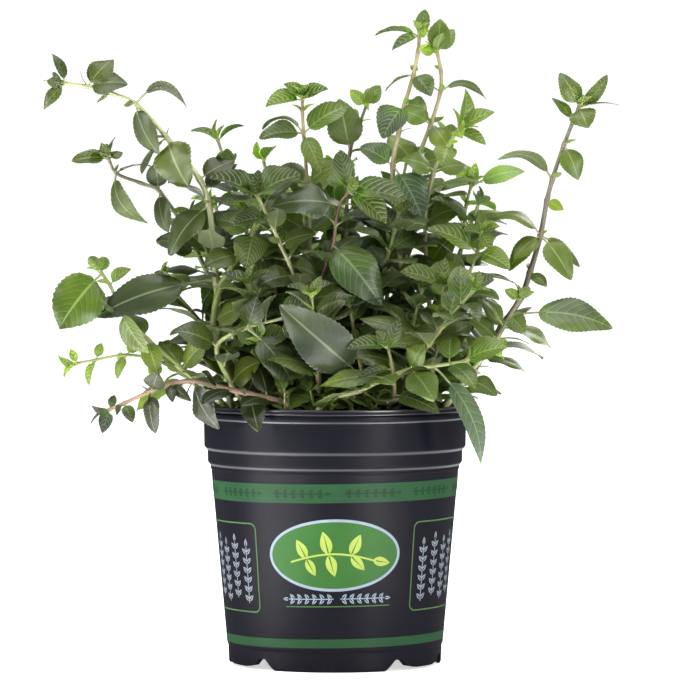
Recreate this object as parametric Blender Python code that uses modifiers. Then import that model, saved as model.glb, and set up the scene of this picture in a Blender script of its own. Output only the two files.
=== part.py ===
"""A potted mint plant: a thin black nursery pot, its potting mix and the leafy stems that grow from it.

Units are metres, +Z is up and -Y is the front. The origin is on the ground, at the centre of the pot.
Each stem grew in one piece with its leaves, so each is one solid: a square stem with its leaves joined on.
"""

import math
from collections import namedtuple

import bmesh
import bpy
from mathutils import Matrix, Vector
from mathutils.bvhtree import BVHTree

MM = 0.001
GAP = 0.3 * MM  # clearance between neighbouring solids

# The pot, a 4.5 inch round nursery pot.
RIM_RADIUS = 57.4 * MM
POT_HEIGHT = 112.0 * MM
FOOT_RADIUS = 45.9 * MM
WALL = 1.3 * MM
FLOOR_TOP = 7.4 * MM
FLOOR_UNDERSIDE = 6.0 * MM
SHOULDER_RADIUS = 56.7 * MM
LOWER_LEDGE_RADIUS = 55.1 * MM
BODY_TOP_RADIUS = 53.6 * MM
BODY_BASE_RADIUS = 46.7 * MM
BODY_TOP = 85.5 * MM
RIDGE_HEIGHT = 9.2 * MM
NOTCH_HEIGHT = 4.8 * MM
FIRST_NOTCH = 57  # bearing of the middle of the first foot cut, in degrees from the front
SHORT_FOOT_LIFT = 1.0 * MM
CUTTER_DEPTH = 17.5 * MM
TURN_STEPS = 42

# The potting mix and the plant.
MIX_TOP = 105.0 * MM
STEM_TIP_SHARE = 0.45  # a stem's radius at its tip, as a share of its radius at the foot
STEM_SPACING = 18 * MM
BUD_LENGTH = 1.6 * MM
LEAF_THICKNESS = 0.8 * MM
PETIOLE_RADIUS = 0.55 * MM
SMALL_LEAF = 21 * MM  # a leaf shorter than this has fewer sections
PETIOLE_SHARE = 0.14
ARCH = 0.10  # how far a leaf bows up, as a share of its length
CLEARANCE = 0.35 * MM  # kept round each leaf while it is fitted in among the others

# The stems that fill the bush between the planned ones stand in arcs on the mix. An arc has a count, foot
# radius (mm), lean outwards, height (mm), middle bearing and spread (degrees; 90 is the back, 270 front).
FILL_ARCS = (
    (7, 35, 0.30, 92, 90, 200),
    (5, 22, 0.24, 114, 90, 200),
    (3, 34, 0.66, 56, 218, 54),
    (3, 34, 0.66, 56, 322, 54),
    (5, 12, 0.22, 88, 270, 300),
)
FILL_PAIR_RISE = 17  # mm from one pair of leaves to the next
FILL_LEAF_LENGTH = 29 * MM
FILL_LEAF_WIDTH = 0.55  # of its length

COLOURS = {
    "pot": ((0.018, 0.018, 0.024, 1), 0.32),
    "potting_mix": ((0.035, 0.022, 0.014, 1), 0.95),
    "stem": ((0.07, 0.15, 0.035, 1), 0.55),
}

# A planned stem is its foot radius, the stops of its route and its leaves, in millimetres. A leaf is the
# stop that it grows from, the reach from there to its tip, its width and the way its upper side turns: u up,
# f front, b back, l left, r right. Two more numbers, where given, are the petiole's share and the arch.
PLAN = {
    "stem_left_arch": (1.4, [
        (-44, -10, 105.3), (-49, -13, 140), (-51, -14, 166), (-54, -14, 198), (-58, -14, 209),
        (-72, -14, 227), (-85.5, -13, 241.5), (-96, -12, 246), (-106, -11, 248.8), (-116, -10, 250.3)], [
        (2, (-51, -10, -17), 17, "ffu", 0.3), (3, (-17, -6, -21), 15, "lf"), (3, (-17, 4, 11), 14, "u"),
        (4, (15, 4, 8), 12.5, "uf"), (5, (9, -6, -21), 18.5, "lfu"), (5, (-14, 7, -13), 12.5, "ul"),
        (6, (22, 2, -1.5), 10, "uub", 0.2, 0.42), (6, (10, -4, -22), 12, "lf"),
        (8, (11, 5, 11), 12.5, "uf"), (8, (17, -4, 1.5), 15, "fu"), (9, (-5.5, 2, 13), 6, "rf"),
        (9, (-9.2, 0, 0), 5, "u"), (9, (-9, -2, -11), 6.5, "uf")]),
    "stem_left_upper": (1.2, [
        (-34, 4, 105.3), (-44, 8, 140), (-60, 9, 178), (-76, 8, 204), (-84, 7, 207.5), (-95, 6, 212),
        (-98, 6, 218)], [
        (1, (-18, 9, 5), 14, "uf"), (1, (13, 10, 15), 14, "uf"), (2, (-17, -6, 5), 14, "uf"),
        (2, (10, 14, 12), 14, "u"), (3, (3.5, -6, -18), 10.5, "lf"), (3, (-3, 10, 12), 9, "uf"),
        (5, (14, -4, -22), 10.5, "lf", 0.12, 0.3), (5, (15, -1, 3.5), 10.5, "u"),
        (6, (-16, -1, -1), 8.5, "uf"), (6, (6, 3, 3), 5, "uf"), (6, (-3, -4, 7), 5, "f")]),
    "stem_left_low": (1.2, [
        (-43, -20, 105.3), (-53, -24, 118.5), (-65, -27, 128), (-80, -28, 141), (-91, -26, 153),
        (-96, -25, 164), (-99.5, -24, 169)], [
        (6, (-18, -6, -23), 22, "ffu"), (6, (1, 4, 7), 6, "f"), (5, (9, 3, 7), 7, "uf"),
        (4, (-9, -2, 5), 9, "uf"), (4, (12, -6, -18), 11.5, "fl"), (3, (-15, 3, 5), 10.5, "uf"),
        (3, (4, -7, -13), 9, "f"), (2, (-10, 4, 12), 10.5, "uf"), (2, (11, -5, 12), 11.5, "uf")]),
    "stem_left_trailing": (0.9, [
        (-47, -9, 105.3), (-57, -13, 118), (-66, -17, 126), (-76, -20, 131.5), (-89, -22, 134),
        (-102, -22.5, 132), (-110, -22.5, 130.5)], [
        (6, (-3, 1, 6), 4, "f"), (6, (-6, -1, -6), 5, "u"), (5, (-3, -3, -11), 5.5, "lf"),
        (5, (2, 3, 7), 4.5, "f"), (4, (-4, -3, -10), 6, "fl"), (4, (5, 3, 7), 5.5, "f"),
        (3, (-2, -3, -8), 6, "f"), (3, (5, 4, 9), 6, "f"), (2, (-7, -4, 9), 6, "f"),
        (2, (7, 6, 6), 7, "u")]),
    "runner_red": (1.2, [
        (-17, -42, 105.3), (-21, -44, 114), (-36, -42.5, 118), (-50, -37, 121), (-60, -33.5, 123.3),
        (-70, -31, 122), (-78, -30, 119), (-90, -29, 113.5), (-96, -29, 111)], [
        (8, (-8, -2, -6), 5.5, "u"), (8, (-3, -3, -10), 6, "f"), (8, (2, 3, 6), 4, "f"),
        (7, (4, -3, -8), 6, "uf"), (6, (1.5, -4, -18), 10, "fl"), (6, (3, -7, 8), 9, "f"),
        (5, (3, -6, -9), 4.5, "f"), (5, (9, -7, -7), 4.5, "f"), (4, (10, -11, -20), 12, "fl"),
        (2, (4, -15, -15), 10, "f"), (3, (-6, -9, 7), 7, "uf")]),
    "stem_left_olive": (1.7, [
        (-31, -15, 105.3), (-45, -20, 126), (-51.5, -21, 148), (-49, -20, 163), (-41, -18, 176.5),
        (-35, -16, 186), (-33, -13, 197)], [
        (3, (-22, -5, -1), 11.5, "u"), (2, (-19, -8, -4), 10.5, "u"), (2, (14, -7, 7), 14, "uf"),
        (4, (16, -3, 7), 14, "uf"), (4, (-15, -6, -4), 12.5, "uf"), (5, (-16, 4, 6), 14, "uf"),
        (5, (-3, -10, -15), 15, "f"), (6, (-8, 1, 8), 7, "uf"), (6, (8, 3, 8), 7, "uf"),
        (1, (-13, -10, 9), 12.5, "uf")]),
    "stem_centre_left": (1.2, [
        (-10, -20, 105.3), (-9, -24, 130), (-12, -27, 157), (-17, -27, 168), (-23, -26, 181),
        (-28, -25, 192), (-33, -24, 202)], [
        (6, (18, -5, 9), 16, "uf"), (6, (-20, -2, 8), 12.5, "uf"), (6, (2, 3, 11), 6, "f"),
        (6, (-2, -5, 8), 5, "f"), (5, (-15, -7, -2), 11.5, "uf"), (4, (15, -7, 5), 12.5, "uf"),
        (3, (-16, -6, -4), 12.5, "uf"), (2, (17, -8, 2), 14, "uf"), (1, (-16, -8, 4), 14, "uf")]),
    "stem_front_left": (1.1, [
        (-34, -28, 105.3), (-44, -31, 122), (-50, -34, 138), (-37, -37, 146), (-22, -38, 150)], [
        (3, (20, -7, -23), 14.5, "fu", 0.25), (3, (4, -6, 13), 10.5, "f"), (4, (13, 5, 8), 11.5, "uf"),
        (4, (8, 1, -9), 9, "f"), (2, (-17, -6, 7), 14, "uf"), (1, (12, -8, 10), 15, "fu")]),
    "stem_centre_tall": (1.1, [
        (-14, 4, 105.3), (-12, 3, 150), (-11, 2, 185), (-12, 0, 207), (-13.5, -1, 229), (-14, -1, 238),
        (-14, -1, 243.5)], [
        (4, (-19, -4, -2), 12, "uf"), (4, (-18, 6, 2), 9, "u", 0.15, 0.3), (4, (19, 3, 12), 12.5, "uf"),
        (4, (8, -6, -17), 9, "f"), (6, (-16, -1, -3), 10.5, "uf"), (6, (-8, 2, 7), 7, "uf"),
        (6, (11, -2, 4.5), 9, "uf"), (6, (2, -8, 1), 6, "uf"), (3, (15, -5, 9), 14, "uf"),
        (3, (-15, 7, 6), 14, "uf"), (2, (-15, -6, 9), 15, "uf"), (2, (12, 13, 9), 15, "u"),
        (1, (17, 5, 9), 16, "u"), (1, (-17, 3, 10), 16, "u")]),
    "stem_centre": (1.2, [
        (-8, -8, 105.3), (-8, -14, 135), (-6, -20, 165), (-1, -23, 181), (2, -25, 198), (6, -26, 203.5)], [
        (4, (-29, -4, 0), 19, "uf"), (3, (21, -9, -25), 19, "ffu", 0.08), (5, (-4, 4, 18), 10.5, "f"),
        (5, (24, 0, -3), 14, "uf"), (5, (16, -7, -13), 12.5, "uf"), (5, (4, -5, 7), 5, "f"),
        (2, (-16, -8, 1), 14, "uf"), (2, (15, 3, 9), 14, "uf"), (1, (17, -6, 6), 15, "uf"),
        (1, (-15, 5, 9), 15, "u")]),
    "stem_centre_back": (1.1, [
        (4, 14, 105.3), (5, 15, 150), (5, 14, 195), (6.5, 12, 221), (11, 11, 234), (13.5, 10, 241)], [
        (3, (-4.5, -3, 23), 15, "f"), (3, (15, -3, 1), 9, "u"), (5, (-7, 0, 7), 6, "f"),
        (5, (6, 2, 9), 7, "f"), (4, (-9, 5, 3), 9, "uf"), (2, (17, 4, 7), 15, "uf"),
        (2, (-16, 6, 8), 15, "u"), (1, (2, 18, 9), 16, "ub"), (5, (1, -7, 1), 5, "f")]),
    "stem_top_left": (1.3, [
        (30, 5, 105.3), (30.5, 3, 140), (28.5, 1, 168), (26, 0, 192), (25, -1, 215), (27.5, -1, 229),
        (30, -1, 241), (34, 0, 254.5), (35.8, 0, 264), (36.5, 0, 271)], [
        (9, (2.5, 1, 11.5), 7, "f"), (9, (-12, -3, -6), 6, "uf"), (9, (-19, 2, 1.5), 6, "u"),
        (9, (4, -4, 3), 4, "f"), (7, (-12.5, -3, -7), 6, "ul"), (7, (7.5, -4, -9.5), 10.5, "fu"),
        (6, (-9.5, -6, -14), 15, "fu"), (6, (9.5, -5, -1.5), 10.5, "uf"),
        (4, (12.5, -8, -22), 16, "fu", 0.2), (4, (-14, 3, 8), 12.5, "uf"), (3, (-15, -6, 7), 14, "uf"),
        (3, (15, 6, 7), 14, "uf"), (2, (15, -8, 5), 14, "uf"), (2, (-15, 7, 8), 15, "u"),
        (1, (12, 13, 7), 16, "u")]),
    "stem_top_right": (1.3, [
        (31, 17, 105.3), (30, 15, 150), (31, 11, 190), (35, 8, 215), (41.5, 6, 233), (45.6, 5, 247),
        (45.8, 5, 256), (44.2, 5, 264)], [
        (7, (1.5, 0, 14.5), 10, "f"), (7, (6, 3, 12), 7, "f"), (7, (-6, 2, 6), 5, "f"),
        (7, (-5, -5, 1), 5, "uf"), (5, (20, 2, -2.5), 7, "uub", 0.15, 0.3), (5, (-12, 3, 5), 6, "u"),
        (4, (-13, 6, 6), 10.5, "uf"), (4, (9, -5, -13), 10.5, "fu"), (3, (16, -4, 3), 12.5, "uf"),
        (3, (-12, 8, 13), 12.5, "uf"), (2, (17, 5, 8), 15, "uf"), (2, (-3, 17, 8), 15, "u"),
        (1, (17, -3, 9), 16, "u")]),
    "stem_right_upper": (1.1, [
        (40, 4, 105.3), (41, 2, 150), (39, 0, 190), (43, -2, 213), (49, -3, 224), (53, -3, 230)], [
        (5, (4, 2, 18), 9, "fr"), (5, (15, 1, 10), 9, "uf"), (5, (3, -5, -6), 7, "f"),
        (5, (12, -3, -6), 7, "uf"), (4, (-3, -7, -9), 10.5, "fu"), (3, (-14, -5, 5), 12.5, "uf"),
        (3, (14, 4, 2), 11.5, "uf"), (2, (15, -6, 7), 14, "uf"), (2, (-13, -9, 6), 14, "uf"),
        (1, (15, -7, 8), 15, "uf")]),
    "stem_right_back": (1.1, [
        (44, 18, 105.3), (50, 17, 145), (55, 14, 180), (57, 12, 198), (59, 10, 206)], [
        (4, (23, -6, 7), 10.5, "fu", 0.25), (4, (-7, 4, 10), 9, "uf"), (4, (2, 3, 10), 5, "f"),
        (3, (13, 9, -2), 11.5, "u"), (2, (16, 3, 7), 14, "uf"), (2, (-8, 14, 8), 14, "u"),
        (1, (17, 5, 7), 15, "u")]),
    "stem_right_rosette": (1.1, [
        (36, -14, 105.3), (46, -17, 140), (56, -18, 165), (61, -16, 178), (62.6, -16, 186)], [
        (4, (-8, -3, 1), 7, "uf"), (4, (8, -1, 3), 7, "uf"), (4, (0.5, 3, 8), 6, "f"),
        (4, (4, -6, -7), 7, "uf"), (3, (-21, -5, 10), 14, "uf"), (3, (14, -4, -7), 11.5, "uf"),
        (2, (-16, -7, 5), 14, "uf"), (2, (14, 7, 3), 12.5, "u"), (1, (15, -10, 7), 15, "uf"),
        (1, (-13, -8, 11), 14, "uf")]),
    "stem_right_tall": (1.4, [
        (44, -5, 105.3), (60, -7, 128), (72, -7, 146), (80, -7, 158), (84, -7, 169), (88.5, -7, 185),
        (91.3, -7, 200), (93.6, -7, 209), (98.6, -7, 224), (102.5, -7, 234), (105, -7, 240)], [
        (10, (-8, 1, 15), 10, "uf"), (10, (12.5, 2, 14), 7, "fr"), (10, (17.2, -1, 3.5), 5.5, "u"),
        (10, (3.5, -8, -9), 11.5, "f"), (9, (-9, 2, 10), 5.5, "rf"),
        (7, (-23, -2, 10), 8.5, "uub", 0.12, 0.26), (8, (6, -4, -15), 10, "fu"), (6, (7, -3, -4), 5, "f"),
        (5, (-24, -2, 7.5), 11, "uuf", 0.12, 0.25), (5, (-12, -6, -10), 9, "uf"),
        (5, (-14, 4, -15), 9, "uf"), (5, (13, -6, -19), 12, "fu", 0.2), (5, (19, 3, -12), 7, "uf"),
        (4, (7, -6, -6), 6, "fu"), (2, (-10, -8, 12), 11.5, "uf"), (2, (13, 8, 8), 11.5, "u"),
        (1, (-14, 6, 11), 14, "uf")]),
    "stem_right_low": (1.3, [
        (44, -21, 105.3), (56, -25, 124), (69, -26, 141), (75, -26, 151), (78.5, -25, 157)], [
        (3, (43, -8, -3.5), 17, "uf", 0.28), (4, (-6, 1, 5), 6, "uf"), (4, (5, 2, 6), 5.5, "uf"),
        (3, (6, -6, -7), 9, "f"), (2, (14, -4, -2), 6, "u"), (1, (13, -7, -7), 10, "fu"),
        (2, (-12, -3, 9), 10.5, "uf"), (1, (4, 7, 12), 11.5, "u")]),
    "stem_front_right": (1.2, [
        (-9, -42, 105.3), (-4, -45, 115), (10, -46, 119.5), (22, -45, 125), (32, -44, 128.5),
        (42, -43, 130), (55, -41, 132), (65, -39, 135)], [
        (5, (20.5, 6, -42), 12.5, "fr", 0.2, 0.16), (6, (18, -5, 6), 15, "fu"), (7, (8, 3, 6), 6, "f"),
        (4, (10, -9, -13), 14, "fu"), (3, (-29, -4, -3), 10, "uf"), (4, (6, -4, 11), 10.5, "uf"),
        (2, (5, -10, 2), 6, "uf")]),
    "stem_front_tall": (0.9, [
        (34, -26, 105.3), (39, -32, 120), (43, -35, 136), (45.2, -34, 152), (45.8, -34, 163.5)], [
        (2, (-32, -6, 15), 12.5, "uf"), (3, (-6, -4, 3), 4.5, "uf"), (3, (6, -4, 4), 4.5, "uf"),
        (4, (-18, -4, 6.5), 10.5, "uf"), (4, (30, -2, 3), 10.5, "u"), (4, (1, 1, 12), 6, "f"),
        (4, (-1, -6, 6), 5, "f"), (2, (15, 3, 12), 12.5, "uf")]),
    "stem_front_short": (1.0, [
        (20, -36, 105.3), (25, -46, 118), (24.5, -48, 129), (22.5, -48, 138)], [
        (3, (-17, -3, 0), 9, "uf"), (3, (5, -1, 12), 7, "f"), (3, (-5, -2, 9), 5.5, "f"),
        (3, (9, -4, 2), 6, "uf"), (1, (19, -9, -5), 11.5, "uf"), (2, (-15, -5, -4), 6, "uf")]),
    "stem_front_centre": (1.2, [
        (14, -24, 105.3), (13, -31, 116), (12, -34, 125), (9, -32, 140), (6, -29, 155)], [
        (2, (-34, -19, 30), 21, "ff", 0.2, 0.16), (1, (-17, -12, -3), 12.5, "fu"),
        (4, (11, -6, 8), 14, "uf"), (4, (-10, -5, 10), 10.5, "uf"), (3, (15, -6, 6), 14, "uf")]),
    "stem_front_low": (1.1, [
        (-18, -29, 105.3), (-22, -32, 117), (-27, -35, 128), (-31, -36, 138)], [
        (3, (-6, -3, 13), 14, "f"), (3, (7, -6, 9), 12.5, "fu"), (2, (-13, -6, 4), 15, "fu"),
        (2, (14, -6, -2), 14, "fu"), (1, (13, -9, -1), 11.5, "uf")]),
}

DIRECTIONS = {"u": (0, 0, 1), "f": (0, -1, 0), "b": (0, 1, 0), "l": (-1, 0, 0), "r": (1, 0, 0)}
Leaf = namedtuple("Leaf", "base reach width face petiole arch")
Stem = namedtuple("Stem", "name radius stops leaves")


# ---------------------------------------------------------------- the plan of the plant

def line_through(stops, spacing):
    """Points along a smooth curve through the stops, which are all among them."""
    along = [0.0]
    for near, far in zip(stops, stops[1:]):
        along.append(along[-1] + (far - near).length)
    last = len(stops) - 1
    slopes = []
    for i in range(len(stops)):
        before, after = max(i - 1, 0), min(i + 1, last)
        slopes.append((stops[after] - stops[before]) / (along[after] - along[before]))
    points = [stops[0]]
    for i in range(last):
        span = along[i + 1] - along[i]
        steps = max(1, round(span / spacing))
        for k in range(1, steps + 1):
            t = k / steps
            points.append(
                stops[i] * (2 * t**3 - 3 * t**2 + 1) + slopes[i] * (span * (t**3 - 2 * t**2 + t))
                + stops[i + 1] * (3 * t**2 - 2 * t**3) + slopes[i + 1] * (span * (t**3 - t**2)))
    return points


def stem_line(stops, spacing):
    """A stem's centre line: it leaves the mix straight up, follows its stops and ends in a bud."""
    start = stops[0] + Vector((0, 0, 2 * MM))
    bud = stops[-1] + (stops[-1] - stops[-2]).normalized() * BUD_LENGTH
    return [stops[0]] + line_through([start] + stops[1:], spacing) + [bud]


def planned_stem(name):
    radius, stops, leaves = PLAN[name]
    stops = [Vector(stop) * MM for stop in stops]
    grown = []
    for stop, reach, width, face, *shape in leaves:
        petiole, arch = (shape + [PETIOLE_SHARE, ARCH][len(shape):])[:2]
        toward = sum((Vector(DIRECTIONS[letter]) for letter in face), Vector())
        grown.append(Leaf(stops[stop], Vector(reach) * MM, width * MM, toward, petiole, arch))
    return Stem(name, radius * MM, stops, grown)


def fill_stem(arc, place, nudge, ease):
    """A stem between the planned ones: it leans outwards, with crossed pairs of leaves all the way up."""
    count, foot, lean, height, middle, spread = FILL_ARCS[arc]
    bearing = math.radians(middle + (place - (count - 1) / 2) * (spread / count) + nudge)
    outward = Vector((math.cos(bearing), math.sin(bearing), 0))
    crosswise = Vector((-outward.y, outward.x, 0))
    levels = round(height / FILL_PAIR_RISE)
    height *= MM * (1 + 0.07 * math.sin(5 * place + arc))
    stops = []
    for level in range(levels + 1):
        share = (level / levels) ** 0.9
        drift = foot * MM + lean * ease * height * share**1.4
        stops.append(outward * drift + Vector((0, 0, MIX_TOP + GAP + height * share)))
    grown = []
    for level, base in enumerate(stops[1:], 1):
        size = FILL_LEAF_LENGTH * (0.45 if level == levels else 1.04 - 0.4 * level / levels)
        for side in (-1, 1):
            turn = math.radians(90 * (level % 2) + 23 * place + 12 * side)
            across = Matrix.Rotation(turn, 3, "Z") @ outward * side
            reach = (across + outward * 0.25 + Vector((0, 0, 0.45))).normalized() * size
            toward = Vector((0, 0, 1)) + outward * 0.6
            grown.append(Leaf(base, reach, size * FILL_LEAF_WIDTH, toward, PETIOLE_SHARE, ARCH))
    reach = Vector((0, 0, 9 * MM)) + crosswise * 4 * MM
    grown.append(Leaf(stops[-1], reach, 5 * MM, outward, PETIOLE_SHARE, ARCH))
    return Stem(f"stem_fill_{arc + 1}{place + 1}", 1.15 * MM, stops, grown)


def stem_radius(stem, stop):
    """The stem's radius at one of its stops."""
    return stem.radius * (1 - (1 - STEM_TIP_SHARE) * stem.stops.index(stop) / (len(stem.stops) - 1))


def leaf_sections(leaf, shares, margin=0.0):
    """Sections of a leaf at shares of its reach: its two edges, and the midrib's keel below.

    With a margin, each section has five corners, to stand clear of both faces along the edges too.
    """
    length = leaf.reach.length
    along = leaf.reach / length
    up = (leaf.face - along * leaf.face.dot(along)).normalized()
    side = along.cross(up)
    sections = []
    for share in shares:
        middle = leaf.base + leaf.reach * share + up * (leaf.arch * length * 4 * share * (1 - share))
        slope = (along + up * (leaf.arch * 4 * (1 - 2 * share))).normalized()
        lift = side.cross(slope)
        blade = (share - leaf.petiole) / (1 - leaf.petiole)
        half = PETIOLE_RADIUS
        if blade > 0.01:
            half = max(half, leaf.width / 2 * math.sin(math.pi * blade**0.72) ** 0.8)
        keel = LEAF_THICKNESS * (1 - 0.5 * max(blade, 0))
        edge, over, under = side * (half + margin), lift * margin, lift * (keel + margin)
        if margin:
            corners = [-edge + over, edge + over, edge - over, -under, -edge - over]
        else:
            corners = [-edge, edge, -under]
        sections.append([middle + corner for corner in corners])
    return sections


def leaf_shell(leaf, start, margin=0.0):
    """A leaf's solid as (points, faces), from a share of its reach near the stem to its tip."""
    blade = 1 - leaf.petiole
    shares = [start, leaf.petiole, leaf.petiole + 0.3 * blade, leaf.petiole + 0.66 * blade]
    if leaf.reach.length < SMALL_LEAF:
        shares[1:] = [leaf.petiole + 0.4 * blade]
    sections = leaf_sections(leaf, shares, margin)
    points = [point for section in sections for point in section]
    points.append(leaf.base + leaf.reach * (1 + margin / leaf.reach.length))
    sides = len(sections[0])
    tip = len(points) - 1
    faces = [tuple(reversed(range(sides)))]
    for ring in range(0, tip, sides):
        for corner in range(sides):
            here, there = ring + corner, ring + (corner + 1) % sides
            if ring == tip - sides:
                faces.append((here, there, tip))
            else:
                faces += [(here, there, there + sides), (here, there + sides, here + sides)]
    return points, faces


def share_inside(leaf, radius):
    """The share of a leaf's reach at which its petiole starts, just off the axis of a stem of this radius."""
    return 0.12 * radius / leaf.reach.length


def stem_shell(stem, margin):
    """A square tube round a stem, to keep leaves clear of it."""
    points, faces = [], []
    line = stem_line(stem.stops, STEM_SPACING)
    for i, point in enumerate(line):
        half = stem.radius * (1 - (1 - STEM_TIP_SHARE) * i / len(line)) + margin
        along = line[min(i + 1, len(line) - 1)] - line[max(i - 1, 0)]
        side = along.cross(Vector((0.3, 1, 0))).normalized()
        lift = along.cross(side).normalized()
        for across, over in ((-1, -1), (1, -1), (1, 1), (-1, 1)):
            points.append(point + (side * across + lift * over) * half)
    for ring in range(0, len(points) - 4, 4):
        for corner in range(4):
            following = (corner + 1) % 4
            faces.append((ring + corner, ring + following, ring + following + 4, ring + corner + 4))
    return points, faces


def pot_guard():
    """A disc over the mix and a collar round the pot's rim and ledges, which leaves keep clear of."""
    inner, outer, top = RIM_RADIUS - 4 * MM, RIM_RADIUS + 1.2 * MM, POT_HEIGHT + 1.0 * MM
    disc, skirt_end = MIX_TOP + 1.0 * MM, BODY_TOP - 10 * MM
    outline = ((0, disc), (inner, disc), (inner, top), (outer, top), (outer, skirt_end))
    points, faces, sides = [], [], 36
    for k in range(sides):
        turn = Vector((math.cos(math.tau * k / sides), math.sin(math.tau * k / sides), 0))
        points += [turn * radius + Vector((0, 0, height)) for radius, height in outline]
    for k in range(sides):
        for corner in range(4):
            here, there = 5 * k + corner, 5 * ((k + 1) % sides) + corner
            faces.append((here, there, there + 1, here + 1))
    return points, faces


class Thicket:
    """All that has grown so far, to test a new stem or leaf against. Each face knows the stem it is on."""

    def __init__(self):
        self.points, self.faces, self.owners, self.tree = [], [], [], None

    def add(self, shell, owner):
        points, faces = shell
        first = len(self.points)
        self.points += points
        self.faces += [tuple(first + corner for corner in face) for face in faces]
        self.owners += [owner] * len(faces)
        self.tree = BVHTree.FromPolygons(self.points, self.faces)

    def touched(self, shell):
        """The owners of all that a shell touches."""
        return {self.owners[hit[0]] for hit in self.tree.overlap(BVHTree.FromPolygons(*shell))}

    def has_room(self, leaf, stem, radius):
        """Is the leaf clear of other stems and their leaves, and its blade of its own stem's leaves?"""
        whole = self.touched(leaf_shell(leaf, share_inside(leaf, radius), CLEARANCE))
        blade = self.touched(leaf_shell(leaf, 0.98 * leaf.petiole, 0.5 * CLEARANCE))
        return whole <= {stem.name, stem.name + " leaf"} and stem.name + " leaf" not in blade


def leaf_changes():
    """Turns and tilts (degrees) and sizes that a leaf may take to find room, the smallest change first."""
    changes = [
        (turn, tilt, size)
        for turn in (0, 9, -9, 18, -18, 30, -30, 45, -45, 65, -65)
        for tilt in (0, 8, -8, 16, -16, 28, -28, 42, -42)
        for size in (1.0, 0.88, 0.76)
    ]
    return sorted(changes, key=lambda change: abs(change[0]) + abs(change[1]) + 120 * (1 - change[2]))


def fitted_leaf(leaf, stem, thicket, changes):
    """The leaf as it fits among the others, or None where there is no room for it."""
    side = leaf.reach.cross(leaf.face).normalized()
    radius = stem_radius(stem, leaf.base)
    for turn, tilt, size in changes:
        turned_by = Matrix.Rotation(math.radians(turn), 3, leaf.face)
        swing = turned_by @ Matrix.Rotation(math.radians(tilt), 3, side)
        reach, width = swing @ leaf.reach * size, leaf.width * size
        tried = leaf._replace(reach=reach, width=width, face=swing @ leaf.face)
        if thicket.has_room(tried, stem, radius):
            thicket.add(leaf_shell(tried, share_inside(tried, radius)), stem.name + " leaf")
            return tried
    return None


def clear_fill_stem(arc, place, thicket):
    """The fill stem, turned round the pot or stood up a little if something is in its way."""
    nudges = sorted(range(-24, 28, 4), key=abs)
    eases = (1.0, 0.8, 1.2, 0.6, 1.4, 0.4)
    tries = (fill_stem(arc, place, nudge, ease) for ease in eases for nudge in nudges)
    return next((stem for stem in tries if thicket.touched(stem_shell(stem, 4 * GAP)) <= {"pot"}), None)


def with_fitted_leaves(stems, thicket):
    """The stems, each with those of its leaves that found room. The largest leaves come first."""
    changes = leaf_changes()
    fitted = {stem.name: [] for stem in stems}
    waiting = [(leaf, stem) for stem in stems for leaf in stem.leaves]
    for leaf, stem in sorted(waiting, key=lambda pair: -pair[0].reach.length * pair[0].width):
        found = fitted_leaf(leaf, stem, thicket, changes)
        if found:
            fitted[stem.name].append(found)
    return [stem._replace(leaves=fitted[stem.name]) for stem in stems]


def grow():
    """Every stem with its leaves: the planned ones first, then those that fill the room between them."""
    thicket = Thicket()
    thicket.add(pot_guard(), "pot")
    planned = [planned_stem(name) for name in PLAN]
    for stem in planned:
        thicket.add(stem_shell(stem, GAP), stem.name)
    planned = with_fitted_leaves(planned, thicket)
    filling = []
    for arc in range(len(FILL_ARCS)):
        for place in range(FILL_ARCS[arc][0]):
            stem = clear_fill_stem(arc, place, thicket)
            if stem:
                thicket.add(stem_shell(stem, GAP), stem.name)
                filling.append(stem)
    return planned + with_fitted_leaves(filling, thicket)


# ---------------------------------------------------------------- making the solids

def clear_scene():
    for obj in list(bpy.data.objects):
        bpy.data.objects.remove(obj)


def new_collection(name, helpers=False):
    collection = bpy.data.collections.new(name)
    bpy.context.scene.collection.children.link(collection)
    collection.hide_render = helpers
    return collection


def new_material(name, colour, roughness):
    material = bpy.data.materials.new(name)
    material.use_nodes = True
    shader = material.node_tree.nodes["Principled BSDF"]
    shader.inputs["Base Color"].default_value = colour
    shader.inputs["Roughness"].default_value = roughness
    shader.inputs["Metallic"].default_value = 0.0
    return material


def new_object(name, mesh, collection, material=None):
    obj = bpy.data.objects.new(name, mesh)
    collection.objects.link(obj)
    if material:
        mesh.materials.append(material)
    else:
        obj.hide_render = True
        obj.display_type = "WIRE"
    return obj


def turned(name, profile, collection, material):
    """A solid turned from a profile of (radius, height) points that starts and ends on the axis."""
    mesh = bpy.data.meshes.new(name)
    points = [(radius, 0, height) for radius, height in profile]
    mesh.from_pydata(points, [(i, i + 1) for i in range(len(points) - 1)], [])
    obj = new_object(name, mesh, collection, material)
    screw = obj.modifiers.new("turn", "SCREW")
    screw.steps = TURN_STEPS
    screw.render_steps = TURN_STEPS
    screw.use_merge_vertices = True
    screw.merge_threshold = 0.00005
    screw.use_smooth_shade = True
    return obj


def body_radius(height):
    """The outer radius of the pot's tapered body."""
    share = (height - RIDGE_HEIGHT) / (BODY_TOP - RIDGE_HEIGHT)
    return BODY_BASE_RADIUS + (BODY_TOP_RADIUS - BODY_BASE_RADIUS) * share


def inner_wall():
    """(radius, height) points up the inside of the pot's wall, from the floor to the rim."""
    return [
        (body_radius(FLOOR_TOP) - WALL, FLOOR_TOP),
        (BODY_TOP_RADIUS - WALL, BODY_TOP),
        (LOWER_LEDGE_RADIUS - WALL, BODY_TOP + 2.4 * MM),
        (LOWER_LEDGE_RADIUS - WALL + 0.2 * MM, BODY_TOP + 7.0 * MM),
        (SHOULDER_RADIUS - WALL, BODY_TOP + 8.9 * MM),
        (SHOULDER_RADIUS - WALL + 0.2 * MM, POT_HEIGHT - 1.0 * MM),
    ]


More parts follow.
